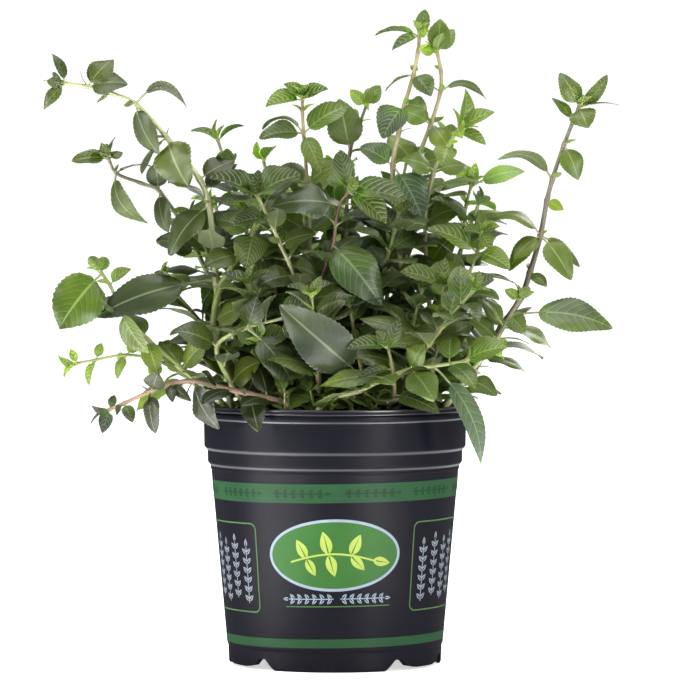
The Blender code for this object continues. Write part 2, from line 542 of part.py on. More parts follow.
def make_pot(collection, cutters, material):
    lip = POT_HEIGHT
    outer_wall = [
        (RIM_RADIUS - 1.0 * MM, lip), (RIM_RADIUS, lip - 0.8 * MM), (RIM_RADIUS, lip - 2.0 * MM),
        (RIM_RADIUS - 0.6 * MM, lip - 2.5 * MM), (RIM_RADIUS + 0.1 * MM, lip - 3.2 * MM),
        (RIM_RADIUS + 0.1 * MM, lip - 5.2 * MM), (SHOULDER_RADIUS, lip - 5.9 * MM),
        (SHOULDER_RADIUS - 0.2 * MM, BODY_TOP + 8.6 * MM), (LOWER_LEDGE_RADIUS, BODY_TOP + 7.0 * MM),
        (LOWER_LEDGE_RADIUS - 0.1 * MM, BODY_TOP + 2.0 * MM), (BODY_TOP_RADIUS, BODY_TOP),
        (BODY_BASE_RADIUS, RIDGE_HEIGHT), (BODY_BASE_RADIUS - 0.5 * MM, RIDGE_HEIGHT - 0.8 * MM),
        (FOOT_RADIUS, 1.0 * MM), (FOOT_RADIUS - 0.6 * MM, 0.0),
    ]
    foot = [
        (FOOT_RADIUS - 2.2 * MM, 0.0), (FOOT_RADIUS - 1.9 * MM, FLOOR_UNDERSIDE - 0.6 * MM),
        (FOOT_RADIUS - 2.6 * MM, FLOOR_UNDERSIDE), (0.0, FLOOR_UNDERSIDE),
    ]
    profile = [(0.0, FLOOR_TOP)] + inner_wall() + outer_wall + foot
    pot = turned("pot", profile, collection, material)
    for place in range(3):
        cutter = foot_cutter(f"foot_cutter_{place + 1}", math.radians(FIRST_NOTCH + 120 * place), cutters)
        notch = pot.modifiers.new(cutter.name, "BOOLEAN")
        notch.operation = "DIFFERENCE"
        notch.object = cutter
    return pot


def foot_cutter(name, bearing, cutters):
    """Cuts two slanted drain notches, and a short foot lifted between them, out of the skirt at a bearing."""
    half_outline = [
        (6.0 * MM, SHORT_FOOT_LIFT), (11.6 * MM, 2 * SHORT_FOOT_LIFT), (14.6 * MM, NOTCH_HEIGHT),
        (17.8 * MM, NOTCH_HEIGHT), (22.0 * MM, 0.0), (23.2 * MM, -1.0 * MM),
    ]
    outline = [(-across, height) for across, height in reversed(half_outline)] + half_outline
    shape = bmesh.new()
    face = shape.faces.new([shape.verts.new((x, -FOOT_RADIUS - 4 * MM, z)) for x, z in outline])
    pushed = bmesh.ops.extrude_face_region(shape, geom=[face])
    moved = [item for item in pushed["geom"] if isinstance(item, bmesh.types.BMVert)]
    bmesh.ops.translate(shape, verts=moved, vec=(0, CUTTER_DEPTH, 0))
    bmesh.ops.recalc_face_normals(shape, faces=shape.faces)
    mesh = bpy.data.meshes.new(name)
    shape.to_mesh(mesh)
    shape.free()
    cutter = new_object(name, mesh, cutters)
    cutter.rotation_euler = (0, 0, bearing)
    return cutter


def make_potting_mix(collection, material):
    """The mix stands a clear gap inside the pot's wall and floor."""
    wall = [(radius - GAP, height) for radius, height in inner_wall() if FLOOR_TOP < height < MIX_TOP]
    low, high = inner_wall()[-2:]
    share = (MIX_TOP - low[1]) / (high[1] - low[1])
    edge = low[0] + (high[0] - low[0]) * share - GAP
    floor_edge = (inner_wall()[0][0] - GAP, FLOOR_TOP + GAP)
    profile = [(0.0, MIX_TOP), (edge, MIX_TOP)] + wall[::-1] + [floor_edge, (0.0, FLOOR_TOP + GAP)]
    return turned("potting_mix", profile, collection, material)


def stem_mesh(stem, collection):
    """The square stem: a curve with a square bevel, as a mesh with its caps welded on."""
    curve = bpy.data.curves.new(stem.name, "CURVE")
    curve.dimensions = "3D"
    curve.bevel_depth = stem.radius
    curve.bevel_resolution = 0
    curve.use_fill_caps = True
    points = stem_line(stem.stops, STEM_SPACING)
    spline = curve.splines.new("POLY")
    spline.points.add(len(points) - 1)
    for i, point in enumerate(points):
        spline.points[i].co = (*point, 1)
        spline.points[i].radius = 1 - (1 - STEM_TIP_SHARE) * i / (len(points) - 1)
    guide = new_object(stem.name + "_guide", curve, collection)
    evaluated = guide.evaluated_get(bpy.context.evaluated_depsgraph_get())
    mesh = bpy.data.meshes.new_from_object(evaluated)
    bpy.data.objects.remove(guide)
    shape = bmesh.new()
    shape.from_mesh(mesh)
    bmesh.ops.remove_doubles(shape, verts=shape.verts, dist=0.00001)
    bmesh.ops.recalc_face_normals(shape, faces=shape.faces)
    shape.to_mesh(mesh)
    shape.free()
    return mesh


def leaves_mesh(stem):
    """A stem's leaves, each a closed shell whose petiole starts inside the stem."""
    mesh = bpy.data.meshes.new(stem.name + "_leaves")
    points, faces = [], []
    for leaf in stem.leaves:
        shell_points, shell_faces = leaf_shell(leaf, share_inside(leaf, stem_radius(stem, leaf.base)))
        first = len(points)
        points += shell_points
        faces += [tuple(first + corner for corner in face) for face in shell_faces]
    mesh.from_pydata(points, [], faces)
    shape = bmesh.new()
    shape.from_mesh(mesh)
    bmesh.ops.recalc_face_normals(shape, faces=shape.faces)
    shape.to_mesh(mesh)
    shape.free()
    return mesh


def make_stem(stem, collection, joined, material):
    obj = new_object(stem.name, stem_mesh(stem, joined), collection, material)
    obj.data.name = stem.name
    leaves = new_object(stem.name + "_leaves", leaves_mesh(stem), joined)
    union = obj.modifiers.new("leaves", "BOOLEAN")
    union.operation = "UNION"
    union.object = leaves
    union.use_self = True
    return obj


def main():
    clear_scene()
    parts = new_collection("potted_mint_plant")
    cutters = new_collection("cutters", helpers=True)
    joined = new_collection("joined_leaves", helpers=True)
    materials = {name: new_material(name, *finish) for name, finish in COLOURS.items()}
    make_pot(parts, cutters, materials["pot"])
    make_potting_mix(parts, materials["potting_mix"])
    for stem in grow():
        make_stem(stem, parts, joined, materials["stem"])


main()
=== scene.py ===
"""A potted mint plant: the looks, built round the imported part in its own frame.

The plan of the plant is the part's own, so that each visible stem and leaf lies on its solid.
"""

import math
import random
from collections import namedtuple

import bmesh
import bpy
import numpy as np
from mathutils import Matrix, Vector, noise
from mathutils.bvhtree import BVHTree


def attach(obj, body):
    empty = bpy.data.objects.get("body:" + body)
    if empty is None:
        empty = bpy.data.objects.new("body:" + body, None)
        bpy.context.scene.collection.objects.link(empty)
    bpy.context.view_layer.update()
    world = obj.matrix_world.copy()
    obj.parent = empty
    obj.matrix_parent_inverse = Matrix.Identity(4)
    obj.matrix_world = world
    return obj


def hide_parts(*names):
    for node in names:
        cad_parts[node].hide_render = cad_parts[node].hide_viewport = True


MM = 0.001
GAP = 0.3 * MM  # clearance between neighbouring solids

# The pot, a 4.5 inch round nursery pot.
RIM_RADIUS = 57.4 * MM
POT_HEIGHT = 112.0 * MM
FOOT_RADIUS = 45.9 * MM
WALL = 1.3 * MM
FLOOR_TOP = 7.4 * MM
FLOOR_UNDERSIDE = 6.0 * MM
SHOULDER_RADIUS = 56.7 * MM
LOWER_LEDGE_RADIUS = 55.1 * MM
BODY_TOP_RADIUS = 53.6 * MM
BODY_BASE_RADIUS = 46.7 * MM
BODY_TOP = 85.5 * MM
RIDGE_HEIGHT = 9.2 * MM
NOTCH_HEIGHT = 4.8 * MM
FIRST_NOTCH = 57  # bearing of the middle of the first foot cut, in degrees from the front
SHORT_FOOT_LIFT = 1.0 * MM
CUTTER_DEPTH = 17.5 * MM

# The potting mix and the plant.
MIX_TOP = 105.0 * MM
STEM_TIP_SHARE = 0.45  # a stem's radius at its tip, as a share of its radius at the foot
STEM_SPACING = 18 * MM
BUD_LENGTH = 1.6 * MM
LEAF_THICKNESS = 0.8 * MM
PETIOLE_RADIUS = 0.55 * MM
SMALL_LEAF = 21 * MM  # a leaf shorter than this has fewer sections
PETIOLE_SHARE = 0.14
ARCH = 0.10  # how far a leaf bows up, as a share of its length
BLADE_SKEW = 0.72  # below 1, the widest part of a blade is nearer its foot
CLEARANCE = 0.35 * MM  # kept round each leaf while it is fitted in among the others

# Leaves that only show grow where stems run through the thick of the bush.
BUSH_LEFT, BUSH_RIGHT, BUSH_LOW, BUSH_HIGH = -70 * MM, 76 * MM, 108 * MM, 206 * MM
PAIR_SPACING = 11 * MM
TIP_PAIRS = ((9.5, 1.1), (7.0, 0.75), (5.0, 0.4), (3.4, 0.2))  # length (mm) and how far each pair spreads
BARE_AXILS = 0.45  # the share of axils with no small leaf in them
LOW_SHOOTS = 130

# The stems that fill the bush between the planned ones stand in arcs on the mix. An arc has a count, foot
# radius (mm), lean outwards, height (mm), middle bearing and spread (degrees; 90 is the back, 270 front).
FILL_ARCS = (
    (7, 35, 0.30, 92, 90, 200),
    (5, 22, 0.24, 114, 90, 200),
    (3, 34, 0.66, 56, 218, 54),
    (3, 34, 0.66, 56, 322, 54),
    (5, 12, 0.22, 88, 270, 300),
)
FILL_PAIR_RISE = 17  # mm from one pair of leaves to the next
FILL_LEAF_LENGTH = 29 * MM
FILL_LEAF_WIDTH = 0.55  # of its length

# A planned stem is its foot radius, the stops of its route and its leaves, in millimetres. A leaf is the
# stop that it grows from, the reach from there to its tip, its width and the way its upper side turns: u
# up, f front, b back, l left, r right. Two more numbers, where given, are the petiole's share and the arch.
PLAN = {
    "stem_left_arch": (1.4, [
        (-44, -10, 105.3), (-49, -13, 140), (-51, -14, 166), (-54, -14, 198), (-58, -14, 209),
        (-72, -14, 227), (-85.5, -13, 241.5), (-96, -12, 246), (-106, -11, 248.8), (-116, -10, 250.3)], [
        (2, (-51, -10, -17), 17, "ffu", 0.3), (3, (-17, -6, -21), 15, "lf"), (3, (-17, 4, 11), 14, "u"),
        (4, (15, 4, 8), 12.5, "uf"), (5, (9, -6, -21), 18.5, "lfu"), (5, (-14, 7, -13), 12.5, "ul"),
        (6, (22, 2, -1.5), 10, "uub", 0.2, 0.42), (6, (10, -4, -22), 12, "lf"),
        (8, (11, 5, 11), 12.5, "uf"), (8, (17, -4, 1.5), 15, "fu"), (9, (-5.5, 2, 13), 6, "rf"),
        (9, (-9.2, 0, 0), 5, "u"), (9, (-9, -2, -11), 6.5, "uf")]),
    "stem_left_upper": (1.2, [
        (-34, 4, 105.3), (-44, 8, 140), (-60, 9, 178), (-76, 8, 204), (-84, 7, 207.5), (-95, 6, 212),
        (-98, 6, 218)], [
        (1, (-18, 9, 5), 14, "uf"), (1, (13, 10, 15), 14, "uf"), (2, (-17, -6, 5), 14, "uf"),
        (2, (10, 14, 12), 14, "u"), (3, (3.5, -6, -18), 10.5, "lf"), (3, (-3, 10, 12), 9, "uf"),
        (5, (14, -4, -22), 10.5, "lf", 0.12, 0.3), (5, (15, -1, 3.5), 10.5, "u"),
        (6, (-16, -1, -1), 8.5, "uf"), (6, (6, 3, 3), 5, "uf"), (6, (-3, -4, 7), 5, "f")]),
    "stem_left_low": (1.2, [
        (-43, -20, 105.3), (-53, -24, 118.5), (-65, -27, 128), (-80, -28, 141), (-91, -26, 153),
        (-96, -25, 164), (-99.5, -24, 169)], [
        (6, (-18, -6, -23), 22, "ffu"), (6, (1, 4, 7), 6, "f"), (5, (9, 3, 7), 7, "uf"),
        (4, (-9, -2, 5), 9, "uf"), (4, (12, -6, -18), 11.5, "fl"), (3, (-15, 3, 5), 10.5, "uf"),
        (3, (4, -7, -13), 9, "f"), (2, (-10, 4, 12), 10.5, "uf"), (2, (11, -5, 12), 11.5, "uf")]),
    "stem_left_trailing": (0.9, [
        (-47, -9, 105.3), (-57, -13, 118), (-66, -17, 126), (-76, -20, 131.5), (-89, -22, 134),
        (-102, -22.5, 132), (-110, -22.5, 130.5)], [
        (6, (-3, 1, 6), 4, "f"), (6, (-6, -1, -6), 5, "u"), (5, (-3, -3, -11), 5.5, "lf"),
        (5, (2, 3, 7), 4.5, "f"), (4, (-4, -3, -10), 6, "fl"), (4, (5, 3, 7), 5.5, "f"),
        (3, (-2, -3, -8), 6, "f"), (3, (5, 4, 9), 6, "f"), (2, (-7, -4, 9), 6, "f"),
        (2, (7, 6, 6), 7, "u")]),
    "runner_red": (1.2, [
        (-17, -42, 105.3), (-21, -44, 114), (-36, -42.5, 118), (-50, -37, 121), (-60, -33.5, 123.3),
        (-70, -31, 122), (-78, -30, 119), (-90, -29, 113.5), (-96, -29, 111)], [
        (8, (-8, -2, -6), 5.5, "u"), (8, (-3, -3, -10), 6, "f"), (8, (2, 3, 6), 4, "f"),
        (7, (4, -3, -8), 6, "uf"), (6, (1.5, -4, -18), 10, "fl"), (6, (3, -7, 8), 9, "f"),
        (5, (3, -6, -9), 4.5, "f"), (5, (9, -7, -7), 4.5, "f"), (4, (10, -11, -20), 12, "fl"),
        (2, (4, -15, -15), 10, "f"), (3, (-6, -9, 7), 7, "uf")]),
    "stem_left_olive": (1.7, [
        (-31, -15, 105.3), (-45, -20, 126), (-51.5, -21, 148), (-49, -20, 163), (-41, -18, 176.5),
        (-35, -16, 186), (-33, -13, 197)], [
        (3, (-22, -5, -1), 11.5, "u"), (2, (-19, -8, -4), 10.5, "u"), (2, (14, -7, 7), 14, "uf"),
        (4, (16, -3, 7), 14, "uf"), (4, (-15, -6, -4), 12.5, "uf"), (5, (-16, 4, 6), 14, "uf"),
        (5, (-3, -10, -15), 15, "f"), (6, (-8, 1, 8), 7, "uf"), (6, (8, 3, 8), 7, "uf"),
        (1, (-13, -10, 9), 12.5, "uf")]),
    "stem_centre_left": (1.2, [
        (-10, -20, 105.3), (-9, -24, 130), (-12, -27, 157), (-17, -27, 168), (-23, -26, 181),
        (-28, -25, 192), (-33, -24, 202)], [
        (6, (18, -5, 9), 16, "uf"), (6, (-20, -2, 8), 12.5, "uf"), (6, (2, 3, 11), 6, "f"),
        (6, (-2, -5, 8), 5, "f"), (5, (-15, -7, -2), 11.5, "uf"), (4, (15, -7, 5), 12.5, "uf"),
        (3, (-16, -6, -4), 12.5, "uf"), (2, (17, -8, 2), 14, "uf"), (1, (-16, -8, 4), 14, "uf")]),
    "stem_front_left": (1.1, [
        (-34, -28, 105.3), (-44, -31, 122), (-50, -34, 138), (-37, -37, 146), (-22, -38, 150)], [
        (3, (20, -7, -23), 14.5, "fu", 0.25), (3, (4, -6, 13), 10.5, "f"), (4, (13, 5, 8), 11.5, "uf"),
        (4, (8, 1, -9), 9, "f"), (2, (-17, -6, 7), 14, "uf"), (1, (12, -8, 10), 15, "fu")]),
    "stem_centre_tall": (1.1, [
        (-14, 4, 105.3), (-12, 3, 150), (-11, 2, 185), (-12, 0, 207), (-13.5, -1, 229), (-14, -1, 238),
        (-14, -1, 243.5)], [
        (4, (-19, -4, -2), 12, "uf"), (4, (-18, 6, 2), 9, "u", 0.15, 0.3), (4, (19, 3, 12), 12.5, "uf"),
        (4, (8, -6, -17), 9, "f"), (6, (-16, -1, -3), 10.5, "uf"), (6, (-8, 2, 7), 7, "uf"),
        (6, (11, -2, 4.5), 9, "uf"), (6, (2, -8, 1), 6, "uf"), (3, (15, -5, 9), 14, "uf"),
        (3, (-15, 7, 6), 14, "uf"), (2, (-15, -6, 9), 15, "uf"), (2, (12, 13, 9), 15, "u"),
        (1, (17, 5, 9), 16, "u"), (1, (-17, 3, 10), 16, "u")]),
    "stem_centre": (1.2, [
        (-8, -8, 105.3), (-8, -14, 135), (-6, -20, 165), (-1, -23, 181), (2, -25, 198), (6, -26, 203.5)], [
        (4, (-29, -4, 0), 19, "uf"), (3, (21, -9, -25), 19, "ffu", 0.08), (5, (-4, 4, 18), 10.5, "f"),
        (5, (24, 0, -3), 14, "uf"), (5, (16, -7, -13), 12.5, "uf"), (5, (4, -5, 7), 5, "f"),
        (2, (-16, -8, 1), 14, "uf"), (2, (15, 3, 9), 14, "uf"), (1, (17, -6, 6), 15, "uf"),
        (1, (-15, 5, 9), 15, "u")]),
    "stem_centre_back": (1.1, [
        (4, 14, 105.3), (5, 15, 150), (5, 14, 195), (6.5, 12, 221), (11, 11, 234), (13.5, 10, 241)], [
        (3, (-4.5, -3, 23), 15, "f"), (3, (15, -3, 1), 9, "u"), (5, (-7, 0, 7), 6, "f"),
        (5, (6, 2, 9), 7, "f"), (4, (-9, 5, 3), 9, "uf"), (2, (17, 4, 7), 15, "uf"),
        (2, (-16, 6, 8), 15, "u"), (1, (2, 18, 9), 16, "ub"), (5, (1, -7, 1), 5, "f")]),
    "stem_top_left": (1.3, [
        (30, 5, 105.3), (30.5, 3, 140), (28.5, 1, 168), (26, 0, 192), (25, -1, 215), (27.5, -1, 229),
        (30, -1, 241), (34, 0, 254.5), (35.8, 0, 264), (36.5, 0, 271)], [
        (9, (2.5, 1, 11.5), 7, "f"), (9, (-12, -3, -6), 6, "uf"), (9, (-19, 2, 1.5), 6, "u"),
        (9, (4, -4, 3), 4, "f"), (7, (-12.5, -3, -7), 6, "ul"), (7, (7.5, -4, -9.5), 10.5, "fu"),
        (6, (-9.5, -6, -14), 15, "fu"), (6, (9.5, -5, -1.5), 10.5, "uf"),
        (4, (12.5, -8, -22), 16, "fu", 0.2), (4, (-14, 3, 8), 12.5, "uf"), (3, (-15, -6, 7), 14, "uf"),
        (3, (15, 6, 7), 14, "uf"), (2, (15, -8, 5), 14, "uf"), (2, (-15, 7, 8), 15, "u"),
        (1, (12, 13, 7), 16, "u")]),
    "stem_top_right": (1.3, [
        (31, 17, 105.3), (30, 15, 150), (31, 11, 190), (35, 8, 215), (41.5, 6, 233), (45.6, 5, 247),
        (45.8, 5, 256), (44.2, 5, 264)], [
        (7, (1.5, 0, 14.5), 10, "f"), (7, (6, 3, 12), 7, "f"), (7, (-6, 2, 6), 5, "f"),
        (7, (-5, -5, 1), 5, "uf"), (5, (20, 2, -2.5), 7, "uub", 0.15, 0.3), (5, (-12, 3, 5), 6, "u"),
        (4, (-13, 6, 6), 10.5, "uf"), (4, (9, -5, -13), 10.5, "fu"), (3, (16, -4, 3), 12.5, "uf"),
        (3, (-12, 8, 13), 12.5, "uf"), (2, (17, 5, 8), 15, "uf"), (2, (-3, 17, 8), 15, "u"),
        (1, (17, -3, 9), 16, "u")]),
    "stem_right_upper": (1.1, [
        (40, 4, 105.3), (41, 2, 150), (39, 0, 190), (43, -2, 213), (49, -3, 224), (53, -3, 230)], [
        (5, (4, 2, 18), 9, "fr"), (5, (15, 1, 10), 9, "uf"), (5, (3, -5, -6), 7, "f"),
        (5, (12, -3, -6), 7, "uf"), (4, (-3, -7, -9), 10.5, "fu"), (3, (-14, -5, 5), 12.5, "uf"),
        (3, (14, 4, 2), 11.5, "uf"), (2, (15, -6, 7), 14, "uf"), (2, (-13, -9, 6), 14, "uf"),
        (1, (15, -7, 8), 15, "uf")]),
    "stem_right_back": (1.1, [
        (44, 18, 105.3), (50, 17, 145), (55, 14, 180), (57, 12, 198), (59, 10, 206)], [
        (4, (23, -6, 7), 10.5, "fu", 0.25), (4, (-7, 4, 10), 9, "uf"), (4, (2, 3, 10), 5, "f"),
        (3, (13, 9, -2), 11.5, "u"), (2, (16, 3, 7), 14, "uf"), (2, (-8, 14, 8), 14, "u"),
        (1, (17, 5, 7), 15, "u")]),
    "stem_right_rosette": (1.1, [
        (36, -14, 105.3), (46, -17, 140), (56, -18, 165), (61, -16, 178), (62.6, -16, 186)], [
        (4, (-8, -3, 1), 7, "uf"), (4, (8, -1, 3), 7, "uf"), (4, (0.5, 3, 8), 6, "f"),
        (4, (4, -6, -7), 7, "uf"), (3, (-21, -5, 10), 14, "uf"), (3, (14, -4, -7), 11.5, "uf"),
        (2, (-16, -7, 5), 14, "uf"), (2, (14, 7, 3), 12.5, "u"), (1, (15, -10, 7), 15, "uf"),
        (1, (-13, -8, 11), 14, "uf")]),
    "stem_right_tall": (1.4, [
        (44, -5, 105.3), (60, -7, 128), (72, -7, 146), (80, -7, 158), (84, -7, 169), (88.5, -7, 185),
        (91.3, -7, 200), (93.6, -7, 209), (98.6, -7, 224), (102.5, -7, 234), (105, -7, 240)], [
        (10, (-8, 1, 15), 10, "uf"), (10, (12.5, 2, 14), 7, "fr"), (10, (17.2, -1, 3.5), 5.5, "u"),
        (10, (3.5, -8, -9), 11.5, "f"), (9, (-9, 2, 10), 5.5, "rf"),
        (7, (-23, -2, 10), 8.5, "uub", 0.12, 0.26), (8, (6, -4, -15), 10, "fu"), (6, (7, -3, -4), 5, "f"),
        (5, (-24, -2, 7.5), 11, "uuf", 0.12, 0.25), (5, (-12, -6, -10), 9, "uf"),
        (5, (-14, 4, -15), 9, "uf"), (5, (13, -6, -19), 12, "fu", 0.2), (5, (19, 3, -12), 7, "uf"),
        (4, (7, -6, -6), 6, "fu"), (2, (-10, -8, 12), 11.5, "uf"), (2, (13, 8, 8), 11.5, "u"),
        (1, (-14, 6, 11), 14, "uf")]),
    "stem_right_low": (1.3, [
        (44, -21, 105.3), (56, -25, 124), (69, -26, 141), (75, -26, 151), (78.5, -25, 157)], [
        (3, (43, -8, -3.5), 17, "uf", 0.28), (4, (-6, 1, 5), 6, "uf"), (4, (5, 2, 6), 5.5, "uf"),
        (3, (6, -6, -7), 9, "f"), (2, (14, -4, -2), 6, "u"), (1, (13, -7, -7), 10, "fu"),
        (2, (-12, -3, 9), 10.5, "uf"), (1, (4, 7, 12), 11.5, "u")]),
    "stem_front_right": (1.2, [
        (-9, -42, 105.3), (-4, -45, 115), (10, -46, 119.5), (22, -45, 125), (32, -44, 128.5),
        (42, -43, 130), (55, -41, 132), (65, -39, 135)], [
        (5, (20.5, 6, -42), 12.5, "fr", 0.2, 0.16), (6, (18, -5, 6), 15, "fu"), (7, (8, 3, 6), 6, "f"),
        (4, (10, -9, -13), 14, "fu"), (3, (-29, -4, -3), 10, "uf"), (4, (6, -4, 11), 10.5, "uf"),
        (2, (5, -10, 2), 6, "uf")]),
    "stem_front_tall": (0.9, [
        (34, -26, 105.3), (39, -32, 120), (43, -35, 136), (45.2, -34, 152), (45.8, -34, 163.5)], [
        (2, (-32, -6, 15), 12.5, "uf"), (3, (-6, -4, 3), 4.5, "uf"), (3, (6, -4, 4), 4.5, "uf"),
        (4, (-18, -4, 6.5), 10.5, "uf"), (4, (30, -2, 3), 10.5, "u"), (4, (1, 1, 12), 6, "f"),
        (4, (-1, -6, 6), 5, "f"), (2, (15, 3, 12), 12.5, "uf")]),
    "stem_front_short": (1.0, [
        (20, -36, 105.3), (25, -46, 118), (24.5, -48, 129), (22.5, -48, 138)], [
        (3, (-17, -3, 0), 9, "uf"), (3, (5, -1, 12), 7, "f"), (3, (-5, -2, 9), 5.5, "f"),
        (3, (9, -4, 2), 6, "uf"), (1, (19, -9, -5), 11.5, "uf"), (2, (-15, -5, -4), 6, "uf")]),
    "stem_front_centre": (1.2, [
        (14, -24, 105.3), (13, -31, 116), (12, -34, 125), (9, -32, 140), (6, -29, 155)], [
        (2, (-34, -19, 30), 21, "ff", 0.2, 0.16), (1, (-17, -12, -3), 12.5, "fu"),
        (4, (11, -6, 8), 14, "uf"), (4, (-10, -5, 10), 10.5, "uf"), (3, (15, -6, 6), 14, "uf")]),
    "stem_front_low": (1.1, [
        (-18, -29, 105.3), (-22, -32, 117), (-27, -35, 128), (-31, -36, 138)], [
        (3, (-6, -3, 13), 14, "f"), (3, (7, -6, 9), 12.5, "fu"), (2, (-13, -6, 4), 15, "fu"),
        (2, (14, -6, -2), 14, "fu"), (1, (13, -9, -1), 11.5, "uf")]),
}

DIRECTIONS = {"u": (0, 0, 1), "f": (0, -1, 0), "b": (0, 1, 0), "l": (-1, 0, 0), "r": (1, 0, 0)}
Leaf = namedtuple("Leaf", "base reach width face petiole arch")
Stem = namedtuple("Stem", "name radius stops leaves")


# ---------------------------------------------------------------- the plan of the plant

def line_through(stops, spacing):
    """Points along a smooth curve through the stops, which are all among them."""
    along = [0.0]
    for near, far in zip(stops, stops[1:]):
        along.append(along[-1] + (far - near).length)
    last = len(stops) - 1
    slopes = []
    for i in range(len(stops)):
        before, after = max(i - 1, 0), min(i + 1, last)
        slopes.append((stops[after] - stops[before]) / (along[after] - along[before]))
    points = [stops[0]]
    for i in range(last):
        span = along[i + 1] - along[i]
        steps = max(1, round(span / spacing))
        for k in range(1, steps + 1):
            t = k / steps
            points.append(
                stops[i] * (2 * t**3 - 3 * t**2 + 1) + slopes[i] * (span * (t**3 - 2 * t**2 + t))
                + stops[i + 1] * (3 * t**2 - 2 * t**3) + slopes[i + 1] * (span * (t**3 - t**2)))
    return points


def stem_line(stops, spacing):
    """A stem's centre line: it leaves the mix straight up, follows its stops and ends in a bud."""
    start = stops[0] + Vector((0, 0, 2 * MM))
    bud = stops[-1] + (stops[-1] - stops[-2]).normalized() * BUD_LENGTH
    return [stops[0]] + line_through([start] + stops[1:], spacing) + [bud]


def planned_stem(name):
    """A stem and its leaves as the plan has them."""
    radius, stops, leaves = PLAN[name]
    stops = [Vector(stop) * MM for stop in stops]
    grown = []
    for stop, reach, width, face, *shape in leaves:
        petiole, arch = (shape + [PETIOLE_SHARE, ARCH][len(shape):])[:2]
        toward = sum((Vector(DIRECTIONS[letter]) for letter in face), Vector())
        grown.append(Leaf(stops[stop], Vector(reach) * MM, width * MM, toward, petiole, arch))
    return Stem(name, radius * MM, stops, grown)


def fill_stem(arc, place, nudge, ease):
    """A stem between the planned ones: it leans outwards, with crossed pairs of leaves all the way up."""
    count, foot, lean, height, middle, spread = FILL_ARCS[arc]
    bearing = math.radians(middle + (place - (count - 1) / 2) * (spread / count) + nudge)
    outward = Vector((math.cos(bearing), math.sin(bearing), 0))
    crosswise = Vector((-outward.y, outward.x, 0))
    levels = round(height / FILL_PAIR_RISE)
    height *= MM * (1 + 0.07 * math.sin(5 * place + arc))
    stops = []
    for level in range(levels + 1):
        share = (level / levels) ** 0.9
        drift = foot * MM + lean * ease * height * share**1.4
        stops.append(outward * drift + Vector((0, 0, MIX_TOP + GAP + height * share)))
    grown = []
    for level, base in enumerate(stops[1:], 1):
        size = FILL_LEAF_LENGTH * (0.45 if level == levels else 1.04 - 0.4 * level / levels)
        for side in (-1, 1):
            turn = math.radians(90 * (level % 2) + 23 * place + 12 * side)
            across = Matrix.Rotation(turn, 3, "Z") @ outward * side
            reach = (across + outward * 0.25 + Vector((0, 0, 0.45))).normalized() * size
            toward = Vector((0, 0, 1)) + outward * 0.6
            grown.append(Leaf(base, reach, size * FILL_LEAF_WIDTH, toward, PETIOLE_SHARE, ARCH))
    reach = Vector((0, 0, 9 * MM)) + crosswise * 4 * MM
    grown.append(Leaf(stops[-1], reach, 5 * MM, outward, PETIOLE_SHARE, ARCH))
    return Stem(f"stem_fill_{arc + 1}{place + 1}", 1.15 * MM, stops, grown)


def stem_radius(stem, stop):
    """The stem's radius at one of its stops."""
    return stem.radius * (1 - (1 - STEM_TIP_SHARE) * stem.stops.index(stop) / (len(stem.stops) - 1))


def leaf_sections(leaf, shares, margin=0.0):
    """Sections of a leaf at shares of its reach: its two edges, and the midrib's keel below.

    With a margin, each section has five corners, to stand clear of both faces along the edges too.
    """
    length = leaf.reach.length
    along = leaf.reach / length
    up = (leaf.face - along * leaf.face.dot(along)).normalized()
    side = along.cross(up)
    sections = []
    for share in shares:
        middle = leaf.base + leaf.reach * share + up * (leaf.arch * length * 4 * share * (1 - share))
        slope = (along + up * (leaf.arch * 4 * (1 - 2 * share))).normalized()
        lift = side.cross(slope)
        blade = (share - leaf.petiole) / (1 - leaf.petiole)
        half = PETIOLE_RADIUS
        if blade > 0.01:
            half = max(half, leaf.width / 2 * math.sin(math.pi * blade**BLADE_SKEW) ** 0.8)
        keel = LEAF_THICKNESS * (1 - 0.5 * max(blade, 0))
        edge, over, under = side * (half + margin), lift * margin, lift * (keel + margin)
        if margin:
            corners = [-edge + over, edge + over, edge - over, -under, -edge - over]
        else:
            corners = [-edge, edge, -under]
        sections.append([middle + corner for corner in corners])
    return sections


def leaf_shell(leaf, start, margin=0.0):
    """A leaf's solid as (points, faces), from a share of its reach near the stem to its tip."""
    blade = 1 - leaf.petiole
    shares = [start, leaf.petiole, leaf.petiole + 0.3 * blade, leaf.petiole + 0.66 * blade]
    if leaf.reach.length < SMALL_LEAF:
        shares[1:] = [leaf.petiole + 0.4 * blade]
    sections = leaf_sections(leaf, shares, margin)
    points = [point for section in sections for point in section]
    points.append(leaf.base + leaf.reach * (1 + margin / leaf.reach.length))
    sides = len(sections[0])
    tip = len(points) - 1
    faces = [tuple(reversed(range(sides)))]
    for ring in range(0, tip, sides):
        for corner in range(sides):
            here, there = ring + corner, ring + (corner + 1) % sides
            if ring == tip - sides:
                faces.append((here, there, tip))
            else:
                faces += [(here, there, there + sides), (here, there + sides, here + sides)]
    return points, faces


def share_inside(leaf, radius):
    """The share of a leaf's reach at which its petiole starts, just off the axis of its stem."""
    return 0.12 * radius / leaf.reach.length


